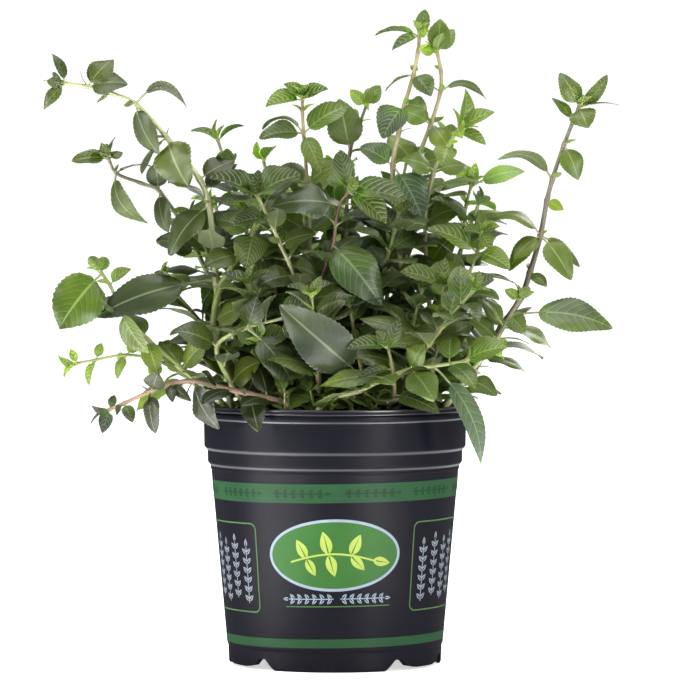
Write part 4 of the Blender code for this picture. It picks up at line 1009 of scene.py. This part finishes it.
def leaf_material(name, under):
    """Pale veins part the blade into fields, raised on young leaves. There the side veins are whiter,
    partly a painted highlight of their raised ribs, and a painted shadow darkens the blade beside each. The
    underside is chalky and dull.
    """
    nodes = Nodes(name)
    tint, youth = nodes.tint()
    midrib, side_vein, shadow, field, out = leaf_pattern(nodes, youth)
    base = nodes.mottled(nodes.noise(90.0, 3.0), tint, (0.74, 0.77, 0.80), (1.26, 1.24, 1.20))
    broad = nodes.ramp(nodes.noise(38.0, 1.0), 0.42, 0.62)
    base = nodes.mottled(broad, base, (0.80, 0.83, 0.92), (1.24, 1.19, 1.02))
    base = nodes.mix(nodes.product(nodes.noise(420.0), 0.35), base, nodes.toned(base, (0.70, 0.74, 0.70)))
    pale = nodes.mix(0.50, nodes.toned(base, (2.6, 2.5, 2.7)), (0.28, 0.35, 0.21, 1))
    if under:
        base = nodes.mix(nodes.scaled(youth, -0.32, 0.42), base, (0.135, 0.150, 0.090, 1))
        veins = nodes.product(nodes.larger(midrib, side_vein), 0.75)
        relief = nodes.scaled(field, -0.10, nodes.product(midrib, 0.4))
        rough = nodes.spread(nodes.noise(300.0), 0.50, 0.66)
    else:
        # Painted shadow: the blade darkened beside each side vein, most on young leaves.
        dark = nodes.toned(base, (0.45, 0.50, 0.42))
        base = nodes.mix(nodes.product(shadow, nodes.scaled(youth, 0.85, 0.25)), base, dark)
        # The side veins are paler in their own colour, and whiter on young leaves as a painted highlight of
        # their raised ribs.
        veins = nodes.larger(nodes.product(midrib, 0.60), side_vein)
        quilted = nodes.larger(nodes.scaled(youth, 0.50, 0.14), 0.06)
        relief = nodes.math("ADD", nodes.product(field, quilted), nodes.product(midrib, -0.4))
        rough = nodes.spread(nodes.noise(300.0), 0.28, 0.42)
    colour = nodes.mix(veins, base, pale)
    colour = nodes.mix(nodes.product(nodes.ramp(out, 0.93, 1.0), 0.25), colour, pale)
    raised = nodes.math("MINIMUM", nodes.larger(nodes.math("SUBTRACT", youth, 0.30), 0.0), 0.7)
    normal = nodes.bump(relief, raised, 0.0006)
    nodes.finish(Base_Color=colour, Roughness=rough, Normal=normal, Specular_IOR_Level=0.44)
    glow = nodes.node("ShaderNodeBsdfTranslucent", {"Color": nodes.toned(colour, (2.0, 2.5, 0.5))})
    share = nodes.node("ShaderNodeMixShader", {0: 0.32, 1: nodes.shader.outputs[0], 2: glow.outputs[0]})
    nodes.put(share.outputs[0], nodes.output.inputs["Surface"])
    return nodes.material


def stem_material():
    """Streaks along the stem and a reddish blush in patches."""
    nodes = Nodes("mint_stem")
    tint, _ = nodes.tint()
    drawn_out = nodes.node("ShaderNodeMapping", {"Vector": nodes.growth(), "Scale": (9.0, 0.7, 1.0)})
    streaks = nodes.noise(3.0, 3.0, drawn_out.outputs["Vector"])
    patches = nodes.noise(140.0, 3.0)
    colour = nodes.mottled(streaks, tint, (0.70, 0.70, 0.66), (1.25, 1.25, 1.25))
    blush = nodes.toned(colour, (1.04, 0.92, 0.80))
    colour = nodes.mix(nodes.product(nodes.ramp(patches, 0.48, 0.75), 0.35), colour, blush)
    return nodes.finish(Base_Color=colour, Roughness=nodes.spread(patches, 0.38, 0.58),
                        Normal=nodes.bump(streaks, 0.3, 0.0002))


def pot_material():
    """Black plastic, glossier along the edges of its ledges and beads and painted paler there as a painted
    highlight, with dust near the foot and the rim.
    """
    nodes = Nodes("pot_plastic")
    height = nodes.node("ShaderNodeSeparateXYZ", {"Vector": nodes.place()}).outputs["Z"]
    # edges: the lines of the painted highlight, which also get more gloss
    edges = 0.0
    for line, half in PAINTED_HIGHLIGHT_EDGES:
        near = nodes.math("ABSOLUTE", nodes.math("SUBTRACT", height, line * MM))
        edges = nodes.larger(nodes.ramp(near, half * MM, 0.3 * half * MM), edges)
    patches = nodes.noise(30.0, 4.0)
    colour = nodes.mix(patches, (0.0018, 0.0018, 0.0046, 1), (0.0030, 0.0030, 0.0064, 1))
    # Painted highlight: the colour turns paler along the edges of the ledges and beads.
    colour = nodes.mix(nodes.product(edges, 0.16), colour, (0.040, 0.041, 0.052, 1))
    dust = nodes.ramp(nodes.noise(420.0, 5.0, roughness=0.7), 0.66, 0.76)
    dusty = nodes.math("ADD", nodes.ramp(height, 0.02, 0.0), nodes.ramp(height, 0.104, 0.112))
    colour = nodes.mix(nodes.product(dust, nodes.product(dusty, 0.30)), colour, (0.10, 0.085, 0.07, 1))
    nodes.gloss(nodes.spread(edges, 0.05, 0.40))
    return nodes.finish(Base_Color=colour, Roughness=nodes.spread(patches, 0.42, 0.52),
                        Normal=nodes.bump(nodes.noise(1800.0), 0.04, 0.0002))


def print_material():
    """Ink in each strip's own tint, worn through in specks."""
    nodes = Nodes("pot_print")
    tint, _ = nodes.tint()
    patches = nodes.noise(60.0, 4.0)
    worn = nodes.ramp(nodes.noise(1500.0, 3.0), 0.62, 0.80)
    colour = nodes.mottled(patches, tint, (0.80, 0.80, 0.80), (1.15, 1.15, 1.15))
    colour = nodes.mix(nodes.product(worn, 0.5), colour, (0.012, 0.014, 0.016, 1))
    nodes.gloss(0.05)
    return nodes.finish(Base_Color=colour, Roughness=nodes.spread(patches, 0.30, 0.42))


def loose_mix_material():
    """Crumbs, roots and grains in their own tints."""
    nodes = Nodes("loose_mix")
    tint, _ = nodes.tint()
    clods = nodes.noise(900.0, 5.0, roughness=0.7)
    colour = nodes.mottled(clods, tint, (0.45, 0.45, 0.45), (1.6, 1.5, 1.4))
    return nodes.finish(Base_Color=colour, Roughness=nodes.spread(clods, 0.80, 0.95),
                        Normal=nodes.bump(clods, 0.8, 0.0006))


def packed_mix_material():
    """Dark peat with paler fibres in it."""
    nodes = Nodes("packed_mix")
    clods = nodes.noise(700.0, 6.0, roughness=0.7)
    fibres = nodes.ramp(nodes.noise(220.0, 3.0), 0.55, 0.75)
    colour = nodes.mix(clods, (0.006, 0.0045, 0.003, 1), (0.045, 0.030, 0.018, 1))
    colour = nodes.mix(nodes.product(fibres, 0.4), colour, (0.09, 0.06, 0.035, 1))
    return nodes.finish(Base_Color=colour, Roughness=nodes.spread(clods, 0.82, 0.96),
                        Normal=nodes.bump(clods, 0.8, 0.0008))


def floor_material():
    """White that glows a little, so that it meets the backdrop with no line."""
    nodes = Nodes("pale_floor")
    return nodes.finish(Base_Color=(0.90, 0.90, 0.90, 1), Roughness=0.4,
                        Emission_Color=(1.0, 1.0, 1.0, 1), Emission_Strength=0.60)


# ---------------------------------------------------------------- the pot

TURNED_SIDES = 160
SHARP_ANGLE = 38  # degrees between faces from which an edge of the pot stays sharp
CORNER_REACH = 0.45 * MM  # how far each corner of the pot's profile is rounded off


def softened(points, reach, corners=3):
    """The profile with each of its corners rounded off."""
    points = [Vector((*point, 0)) for point in points]
    soft = [points[0]]
    for before, corner, after in zip(points, points[1:], points[2:]):
        into, away = before - corner, after - corner
        near = min(reach, 0.4 * into.length, 0.4 * away.length)
        start, end = corner + into.normalized() * near, corner + away.normalized() * near
        for step in range(corners + 1):
            t = step / corners
            soft.append(start * (1 - t) ** 2 + corner * (2 * t * (1 - t)) + end * t**2)
    return [(point.x, point.y) for point in soft + [points[-1]]]


def body_radius(height):
    """The outer radius of the pot's tapered body."""
    share = (height - RIDGE_HEIGHT) / (BODY_TOP - RIDGE_HEIGHT)
    return BODY_BASE_RADIUS + (BODY_TOP_RADIUS - BODY_BASE_RADIUS) * share


def pot_profile():
    """The pot's section, from the middle of its floor over the rim to the middle of its underside."""
    inner = [
        (0.0, FLOOR_TOP), (body_radius(FLOOR_TOP) - WALL, FLOOR_TOP), (BODY_TOP_RADIUS - WALL, BODY_TOP),
        (LOWER_LEDGE_RADIUS - WALL, BODY_TOP + 2.4 * MM),
        (LOWER_LEDGE_RADIUS - WALL + 0.2 * MM, BODY_TOP + 7.0 * MM),
        (SHOULDER_RADIUS - WALL, BODY_TOP + 8.9 * MM),
        (SHOULDER_RADIUS - WALL + 0.2 * MM, POT_HEIGHT - 1.0 * MM),
    ]
    bead = ((-1.1, 0), (-0.1, 0.2), (0, 1.7), (-0.7, 2.1), (-0.6, 2.7), (0.1, 3.1), (0.1, 4.9))
    rim = [(RIM_RADIUS + out * MM, POT_HEIGHT - down * MM) for out, down in bead]
    outer = [
        (SHOULDER_RADIUS + 0.1 * MM, POT_HEIGHT - 5.6 * MM), (SHOULDER_RADIUS, POT_HEIGHT - 7.0 * MM),
        (SHOULDER_RADIUS - 0.2 * MM, BODY_TOP + 8.6 * MM), (LOWER_LEDGE_RADIUS, BODY_TOP + 7.0 * MM),
        (LOWER_LEDGE_RADIUS - 0.1 * MM, BODY_TOP + 2.0 * MM),
        (BODY_TOP_RADIUS + 0.1 * MM, BODY_TOP + 0.2 * MM),
        (BODY_TOP_RADIUS + 0.15 * MM, BODY_TOP - 0.9 * MM),
        (BODY_TOP_RADIUS - 0.15 * MM, BODY_TOP - 1.3 * MM),
        (BODY_BASE_RADIUS, RIDGE_HEIGHT), (BODY_BASE_RADIUS - 0.5 * MM, RIDGE_HEIGHT - 0.8 * MM),
        (FOOT_RADIUS, 1.0 * MM), (FOOT_RADIUS - 0.6 * MM, 0.0),
    ]
    foot = [
        (FOOT_RADIUS - 2.2 * MM, 0.0), (FOOT_RADIUS - 1.9 * MM, FLOOR_UNDERSIDE - 0.6 * MM),
        (FOOT_RADIUS - 2.6 * MM, FLOOR_UNDERSIDE), (0.0, FLOOR_UNDERSIDE),
    ]
    return softened(inner + rim + outer + foot, CORNER_REACH)


def foot_cutter(place):
    """Cuts two slanted drain notches, and a short foot lifted between them, out of the pot's skirt."""
    half_outline = [
        (6.0 * MM, SHORT_FOOT_LIFT), (11.6 * MM, 2 * SHORT_FOOT_LIFT), (14.6 * MM, NOTCH_HEIGHT),
        (17.8 * MM, NOTCH_HEIGHT), (22.0 * MM, 0.0), (23.2 * MM, -1.0 * MM),
    ]
    outline = [(-across, height) for across, height in reversed(half_outline)] + half_outline
    shape = bmesh.new()
    face = shape.faces.new([shape.verts.new((x, -FOOT_RADIUS - 4 * MM, z)) for x, z in outline])
    pushed = bmesh.ops.extrude_face_region(shape, geom=[face])
    moved = [item for item in pushed["geom"] if isinstance(item, bmesh.types.BMVert)]
    bmesh.ops.translate(shape, verts=moved, vec=(0, CUTTER_DEPTH, 0))
    bmesh.ops.recalc_face_normals(shape, faces=shape.faces)
    mesh = bpy.data.meshes.new(f"notches_{place + 1}")
    shape.to_mesh(mesh)
    shape.free()
    cutter = placed(mesh.name, mesh)
    cutter.rotation_euler = (0, 0, math.radians(FIRST_NOTCH + 120 * place))
    return cutter


def make_pot(material):
    """The pot turned from its profile, with the notches cut from its foot."""
    shape = bmesh.new()
    line = [shape.verts.new((radius, 0, height)) for radius, height in pot_profile()]
    edges = [shape.edges.new(pair) for pair in zip(line, line[1:])]
    bmesh.ops.spin(shape, geom=line + edges, axis=(0, 0, 1), cent=(0, 0, 0), angle=math.tau,
                   steps=TURNED_SIDES)
    bmesh.ops.remove_doubles(shape, verts=shape.verts, dist=0.00001)
    bmesh.ops.recalc_face_normals(shape, faces=shape.faces)
    mesh = bpy.data.meshes.new("turned_pot")
    shape.to_mesh(mesh)
    shape.free()
    turned = placed("turned_pot", mesh)
    cutters = [foot_cutter(place) for place in range(3)]
    for cutter in cutters:
        notch = turned.modifiers.new(cutter.name, "BOOLEAN")
        notch.operation = "DIFFERENCE"
        notch.object = cutter
    graph = bpy.context.evaluated_depsgraph_get()
    mesh = bpy.data.meshes.new_from_object(turned.evaluated_get(graph))
    for helper in [turned, *cutters]:
        bpy.data.objects.remove(helper)
    mesh.name = "black_pot"
    mesh.polygons.foreach_set("use_smooth", [True] * len(mesh.polygons))
    mesh.set_sharp_from_angle(angle=math.radians(SHARP_ANGLE))
    mesh.materials.clear()
    mesh.materials.append(material)
    pot = placed("black_pot", mesh)
    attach(pot, "root")
    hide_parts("pot")


# ---------------------------------------------------------------- the print on the pot

# The print is laid out in millimetres: distance round the pot from its front, and height.
BAND_GREEN = (0.012, 0.046, 0.018, 0)
LINE_GREEN = (0.045, 0.095, 0.035, 0)
PALE_BLUE = (0.19, 0.235, 0.29, 0)
LEAF_GREEN = (0.024, 0.085, 0.018, 0)
SPRIG_YELLOW = (0.24, 0.31, 0.060, 0)
SOFT_GREY = (0.15, 0.17, 0.20, 0)
DEEP_GREEN = (0.004, 0.018, 0.007, 0)
FIRST_INK, SECOND_INK, THIRD_INK = 0.05 * MM, 0.09 * MM, 0.13 * MM  # how far each layer stands off the wall
BANDS = ((72.5, 80.5), (10.6, 14.4))
PANEL_SIDES, PANEL_ENDS = (35.8, 72.0), (25.0, 63.5)
OVAL_HEIGHT = 50.2
PRINT_RADIUS = body_radius(50 * MM)
PRINT_TILT = 0.012  # the print was wrapped on a little askew, so it climbs to the right


def on_wall(points, lift):
    """Points on the pot's wall, from the print's own distances and heights."""
    places = []
    for across, height in points:
        turn = across * MM / PRINT_RADIUS
        rise = height * MM + PRINT_TILT * math.sin(turn) * 50 * MM
        radius = body_radius(rise) + lift
        places.append((radius * math.sin(turn), -radius * math.cos(turn), rise))
    return places


def add_strip(sheets, left, right, tint, lift):
    """Print between two lines of (distance, height) points."""
    grid = np.array([on_wall(left, lift), on_wall(right, lift)]).transpose(1, 0, 2)
    sheets.add(grid, 0, tint, flat_map(len(left), 2), flip=True)


def round_the_pot():
    """Distances right round the pot, at steps short enough for its curve."""
    half = math.pi * PRINT_RADIUS / MM
    return np.linspace(-half, half, 145)


def oval(across, height, rise, steps=96):
    """An oval's outline from its half width, half height and the height of its middle."""
    turns = [math.tau * k / steps for k in range(steps + 1)]
    return [(across * math.cos(turn), rise + height * math.sin(turn)) for turn in turns]


def rounded_frame(sheets, sides, ends, corner, width, tint, lift):
    """An empty frame with rounded corners."""
    (left, right), (low, high) = sides, ends
    outer, inner = [], []
    middles = ((right - corner, high - corner, 0), (left + corner, high - corner, 90),
               (left + corner, low + corner, 180), (right - corner, low + corner, 270))
    for x, z, start in middles:
        for step in range(9):
            turn = math.radians(start + 90 * step / 8)
            for line, reach in ((outer, corner), (inner, corner - width)):
                line.append((x + reach * math.cos(turn), z + reach * math.sin(turn)))
    add_strip(sheets, finer(inner + inner[:1]), finer(outer + outer[:1]), tint, lift)


def finer(points, steps=6):
    """Each stretch of a line cut into equal steps."""
    cut = [points[0]]
    for (x0, z0), (x1, z1) in zip(points, points[1:]):
        cut += [(x0 + (x1 - x0) * k / steps, z0 + (z1 - z0) * k / steps) for k in range(1, steps + 1)]
    return cut


def add_motif_leaf(sheets, x, z, turn, length, width, tint, lift):
    """A plain pointed leaf with a split down its middle."""
    along = (math.cos(math.radians(turn)), math.sin(math.radians(turn)))
    for side in (-1, 1):
        rib, edge = [], []
        for step in range(13):
            t = step / 12
            bulge = width / 2 * math.sin(math.pi * t**0.8) ** 0.9
            split = 0.35 * (1 - t)
            for line, out in ((rib, min(split, bulge)), (edge, bulge)):
                line.append((x + along[0] * length * t - along[1] * out * side,
                             z + along[1] * length * t + along[0] * out * side))
        if side > 0:
            rib, edge = edge, rib
        add_strip(sheets, rib, edge, tint, lift)


def add_sprig(sheets, start, turn, length, size, tint, lift):
    """A straight stalk with six pairs of plain leaves along it and one leaf at its end."""
    pairs, half = 6, 0.07 * size
    along = (math.cos(math.radians(turn)), math.sin(math.radians(turn)))
    shares = np.linspace(0, 1, 4 * pairs)
    line = [(start[0] + along[0] * length * t, start[1] + along[1] * length * t) for t in shares]
    add_strip(sheets, [(x - along[1] * half, z + along[0] * half) for x, z in line],
              [(x + along[1] * half, z - along[0] * half) for x, z in line], tint, lift)
    for k in range(pairs):
        share = (k + 0.25) / pairs
        x, z = start[0] + along[0] * length * share, start[1] + along[1] * length * share
        for side in (-1, 1):
            add_motif_leaf(sheets, x, z, turn + 48 * side, size, 0.5 * size, tint, lift)
    add_motif_leaf(sheets, *line[-1], turn, size, 0.5 * size, tint, lift)


def add_bands(sheets):
    """The two green bands right round the pot, the upper one with a row of sprigs in it."""
    around = round_the_pot()
    for low, high in BANDS:
        add_strip(sheets, [(x, high) for x in around], [(x, low) for x in around], BAND_GREEN, FIRST_INK)
    for start in np.arange(-150.0, 150.0, 30.0):
        add_sprig(sheets, (start + 4, 76.4), 0, 22, 2.6, DEEP_GREEN, SECOND_INK)


def add_panels(sheets):
    """A frame on either side of the front, with four upright sprigs in it."""
    for side in (1, -1):
        sides = sorted(side * distance for distance in PANEL_SIDES)
        rounded_frame(sheets, sides, PANEL_ENDS, 3.2, 0.6, LINE_GREEN, FIRST_INK)
        for distance, low in ((42.5, 29.0), (50.5, 31.0), (58.5, 29.0), (66.0, 31.0)):
            add_sprig(sheets, (side * distance, low), 90, 24, 3.6, SOFT_GREY, FIRST_INK)


def add_oval(sheets):
    """A green oval with a pale edge, and a curved sprig with seven leaves on it."""
    add_strip(sheets, oval(29.0, 15.4, OVAL_HEIGHT), oval(27.6, 14.0, OVAL_HEIGHT), PALE_BLUE, FIRST_INK)
    turns = [math.pi * k / 48 for k in range(49)]
    half = [(27.8 * math.cos(turn), 14.2 * math.sin(turn)) for turn in turns]
    add_strip(sheets, [(x, OVAL_HEIGHT + z) for x, z in half], [(x, OVAL_HEIGHT - z) for x, z in half],
              LEAF_GREEN, SECOND_INK)
    stalk = [(-19 + 37 * k / 24, 47.4 + 3.4 * math.sin(math.pi * k / 24)) for k in range(25)]
    add_strip(sheets, [(x, z + 0.4) for x, z in stalk], [(x, z - 0.4) for x, z in stalk],
              SPRIG_YELLOW, THIRD_INK)
    leaves = ((-12, 49, 118, 9.0), (-12, 48.6, -62, 8.0), (-2.5, 50.7, 104, 10.0), (-2.5, 50.3, -74, 9.5),
              (7, 50.3, 66, 9.5), (7, 49.8, -46, 8.5), (16.5, 47.8, -10, 8.0))
    for x, z, turn, length in leaves:
        add_motif_leaf(sheets, x, z, turn, length, length * 0.5, SPRIG_YELLOW, THIRD_INK)


def add_rule(sheets):
    """A thin rule below the oval, with a sprig over it to either side."""
    rule = [(x, 28.6) for x in np.linspace(-22, 25, 25)]
    add_strip(sheets, rule, [(x, z - 0.45) for x, z in rule], LINE_GREEN, FIRST_INK)
    for start, turn in ((2.5, 0), (-0.5, 180)):
        add_sprig(sheets, (start, 31.6), turn, 20, 2.9, PALE_BLUE, FIRST_INK)


def make_print(material):
    """Green bands, framed panels, an oval and a rule, all free of words."""
    sheets = Sheets()
    add_bands(sheets)
    add_panels(sheets)
    add_oval(sheets)
    add_rule(sheets)
    print_piece = sheets.object("pot_print", [material])
    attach(print_piece, "root")


# ---------------------------------------------------------------- the potting mix

CLOD_BROWNS = ((0.020, 0.013, 0.008), (0.040, 0.025, 0.014), (0.070, 0.042, 0.022), (0.012, 0.008, 0.005))
PERLITE = (0.62, 0.60, 0.55)
ROOT = (0.24, 0.17, 0.10)
BARE_MIX = (0.024, 0.016, 0.010)
MIX_RADIUS = SHOULDER_RADIUS - WALL - GAP
CRUMBS, WHITE_SHARE, ROOTS = 950, 0.06, 90


def mix_height(x, y):
    """The loose surface of the mix: uneven, and banked a little against the wall."""
    place = Vector((x, y, 0))
    rough = 0.8 * noise.noise(place * 90) + 0.5 * noise.noise(place * 260) + 0.3 * noise.noise(place * 700)
    bank = 0.6 * max(0.0, math.hypot(x, y) / MIX_RADIUS - 0.8) / 0.2
    return MIX_TOP + (0.6 + rough + bank) * MM


def add_clod(sheets, centre, size, tint, chance):
    """A crumb: a ball of five by seven points, pulled out of round."""
    rows, columns = 5, 7
    pulls = [chance.uniform(0.6, 1.25) for _ in range(3)]
    offset = Vector([chance.uniform(0, 50) for _ in range(3)])
    turned_by = chance.uniform(0, math.tau)
    turn = Matrix.Rotation(turned_by, 3, Vector([chance.uniform(-1, 1) for _ in range(3)]))
    grid = np.zeros((rows, columns, 3))
    for i in range(rows):
        tilt = math.pi * (0.02 + 0.96 * i / (rows - 1))
        for k in range(columns):
            around, out = math.tau * k / columns, math.sin(tilt)
            ray = Vector((out * math.cos(around), out * math.sin(around), math.cos(tilt)))
            reach = size * (1 + 0.55 * noise.noise(ray * 1.7 + offset))
            grid[i, k] = centre + turn @ Vector([r * p for r, p in zip(ray, pulls)]) * reach
    sheets.add(grid, 0, (*tint, 0), flat_map(rows, columns), closed=True)


def add_root(sheets, start, turn, chance):
    """A fine root that wanders over the mix."""
    sides, step = 5, 1.6 * MM
    points, (x, y) = [], start
    for _ in range(chance.randint(9, 18)):
        if math.hypot(x, y) > MIX_RADIUS - 1.5 * MM:
            break
        points.append(Vector((x, y, mix_height(x, y) + chance.uniform(0.1, 0.9) * MM)))
        turn += chance.uniform(-0.5, 0.5)
        x, y = x + step * math.cos(turn), y + step * math.sin(turn)
    if len(points) < 4:
        return
    thickest = chance.uniform(0.12, 0.32) * MM
    grid = np.zeros((len(points), sides, 3))
    for i, point in enumerate(points):
        along = (points[min(i + 1, len(points) - 1)] - points[max(i - 1, 0)]).normalized()
        side = along.cross(Vector((0, 0, 1))).normalized()
        over = side.cross(along)
        radius = thickest * (1 - 0.5 * i / len(points))
        for k in range(sides):
            spin = math.tau * k / sides
            grid[i, k] = point + (side * math.cos(spin) + over * math.sin(spin)) * radius
    sheets.add(grid, 0, (*ROOT, 0), flat_map(len(points), sides), closed=True)


def make_mix(surface_material, body_material):
    """The loose surface of the mix with its crumbs and roots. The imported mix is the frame's own node."""
    chance = random.Random("mix")
    sheets = Sheets()
    rings, spokes = 34, 96
    grid = np.zeros((rings, spokes, 3))
    for i in range(rings):
        radius = MIX_RADIUS * (0.01 + 0.99 * i / (rings - 1))
        for k in range(spokes):
            turn = math.tau * k / spokes
            x, y = radius * math.cos(turn), radius * math.sin(turn)
            grid[i, k] = (x, y, mix_height(x, y))
    sheets.add(grid, 0, (*BARE_MIX, 0), flat_map(rings, spokes), closed=True, flip=True)
    for _ in range(CRUMBS):
        x, y = spot_on_disc(MIX_RADIUS - 2 * MM, chance)
        white = chance.random() < WHITE_SHARE
        size = (chance.uniform(0.6, 1.2) if white else chance.uniform(0.45, 1.9)) * MM
        tint = PERLITE if white else chance.choice(CLOD_BROWNS)
        add_clod(sheets, Vector((x, y, mix_height(x, y) + 0.3 * size)), size, tint, chance)
    for _ in range(ROOTS):
        add_root(sheets, spot_on_disc(MIX_RADIUS, chance), chance.uniform(0, math.tau), chance)
    surface = sheets.object("mix_surface", [surface_material])
    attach(surface, "root")
    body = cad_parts["potting_mix"]
    body.data.materials.clear()
    body.data.materials.append(body_material)


# ---------------------------------------------------------------- floor, light and camera

FLOOR_REACH = 12.0
DIM = 0.12  # the brightness of the room where none of the lit walls is
# The walls of the studio by axis: from which share of a direction to which they brighten, and to what.
LIT_WALLS = (("Y", 0.88, 0.985, 1.10), ("Z", 0.10, 0.45, 0.55), ("X", 0.90, 0.975, 1.05))
CAMERA_PLACE = (0.0065, -2.0, 0.2)
CAMERA_TILT = 1.85  # degrees below the horizon
CAMERA_LENS = 238.0
# Each light's place, aim, size, power in watts and spread in degrees.
LIGHTS = {
    "left_softbox": ((-1.5, -0.60, 0.42), (0, 0, 0.12), (0.85, 0.8), 27, 180),
    "right_softbox": ((1.0, -1.2, 0.45), (0, 0, 0.12), (0.55, 0.85), 19, 180),
    "top_softbox": ((0, -0.2, 1.6), (0, 0, 0.1), (1.6, 1.2), 30, 180),
    "back_softbox": ((0.8, 1.2, 0.9), (0, 0, 0.2), (0.9, 0.9), 16, 180),
    "left_floor_light": ((-0.24, -0.17, 0.11), (-0.24, -0.17, 0), (0.28, 0.26), 2.6, 90),
    "right_floor_light": ((0.17, -0.26, 0.11), (0.17, -0.26, 0), (0.14, 0.30), 1.3, 90),
}


def make_stage(material):
    """The plain floor, which isn't part of the object."""
    mesh = bpy.data.meshes.new("floor")
    corners = [(x * FLOOR_REACH, y * FLOOR_REACH, 0) for x, y in ((-1, -1), (1, -1), (1, 1), (-1, 1))]
    mesh.from_pydata(corners, [], [(0, 1, 2, 3)])
    mesh.materials.append(material)
    floor = placed("floor", mesh)


def make_world():
    """White behind the plant and on either side of it, a soft sky, and a dim room towards the front."""
    world = bpy.data.worlds.new("studio")
    bpy.context.scene.world = world
    world.use_nodes = True
    nodes, link = world.node_tree.nodes, world.node_tree.links.new
    split = nodes.new("ShaderNodeSeparateXYZ")
    link(nodes.new("ShaderNodeTexCoord").outputs["Generated"], split.inputs["Vector"])
    brightest = None
    for axis, start, end, bright in LIT_WALLS:
        toward = split.outputs[axis]
        if axis == "X":
            either_side = nodes.new("ShaderNodeMath")
            either_side.operation = "ABSOLUTE"
            link(toward, either_side.inputs[0])
            toward = either_side.outputs[0]
        level = nodes.new("ShaderNodeMapRange")
        level.interpolation_type = "SMOOTHSTEP"
        link(toward, level.inputs["Value"])
        for name, value in (("From Min", start), ("From Max", end), ("To Min", DIM), ("To Max", bright)):
            level.inputs[name].default_value = value
        if brightest is None:
            brightest = level.outputs["Result"]
            continue
        larger = nodes.new("ShaderNodeMath")
        larger.operation = "MAXIMUM"
        link(brightest, larger.inputs[0])
        link(level.outputs["Result"], larger.inputs[1])
        brightest = larger.outputs[0]
    link(brightest, nodes["Background"].inputs["Strength"])
    nodes["Background"].inputs["Color"].default_value = (1.0, 1.0, 1.0, 1)


def make_lights():
    """Soft boxes round the plant, and two low ones whose light on the floor shines in the pot's sides."""
    for name, (place, aim, size, power, spread) in LIGHTS.items():
        data = bpy.data.lights.new(name, "AREA")
        data.shape = "RECTANGLE"
        data.size, data.size_y = size
        data.energy = power
        data.spread = math.radians(spread)
        data.color = (1.0, 0.99, 0.97)
        light = placed(name, data)
        light.location = place
        light.rotation_euler = (Vector(aim) - Vector(place)).to_track_quat("-Z", "Y").to_euler()


def make_camera():
    """A long lens from the front, as in the photograph."""
    data = bpy.data.cameras.new("camera")
    data.sensor_width = 36.0
    data.lens = CAMERA_LENS
    data.clip_end = 50.0
    camera = placed("camera", data)
    camera.location = CAMERA_PLACE
    camera.rotation_euler = (math.radians(90 - CAMERA_TILT), 0, 0)
    bpy.context.scene.camera = camera


def main():
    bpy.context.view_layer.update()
    plant = [stem_material(), leaf_material("mint_leaf", False), leaf_material("mint_leaf_underside", True)]
    make_plant(plant)
    make_undergrowth(plant)
    make_pot(pot_material())
    make_print(print_material())
    make_mix(loose_mix_material(), packed_mix_material())
    make_stage(floor_material())
    make_world()
    make_lights()
    make_camera()
    bpy.context.scene.view_settings.view_transform = "Standard"


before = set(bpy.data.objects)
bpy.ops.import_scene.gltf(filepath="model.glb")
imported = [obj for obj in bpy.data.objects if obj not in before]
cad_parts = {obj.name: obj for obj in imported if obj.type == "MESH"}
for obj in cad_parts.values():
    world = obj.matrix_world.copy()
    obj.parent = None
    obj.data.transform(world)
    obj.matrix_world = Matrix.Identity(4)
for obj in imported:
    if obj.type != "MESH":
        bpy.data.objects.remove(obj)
main()
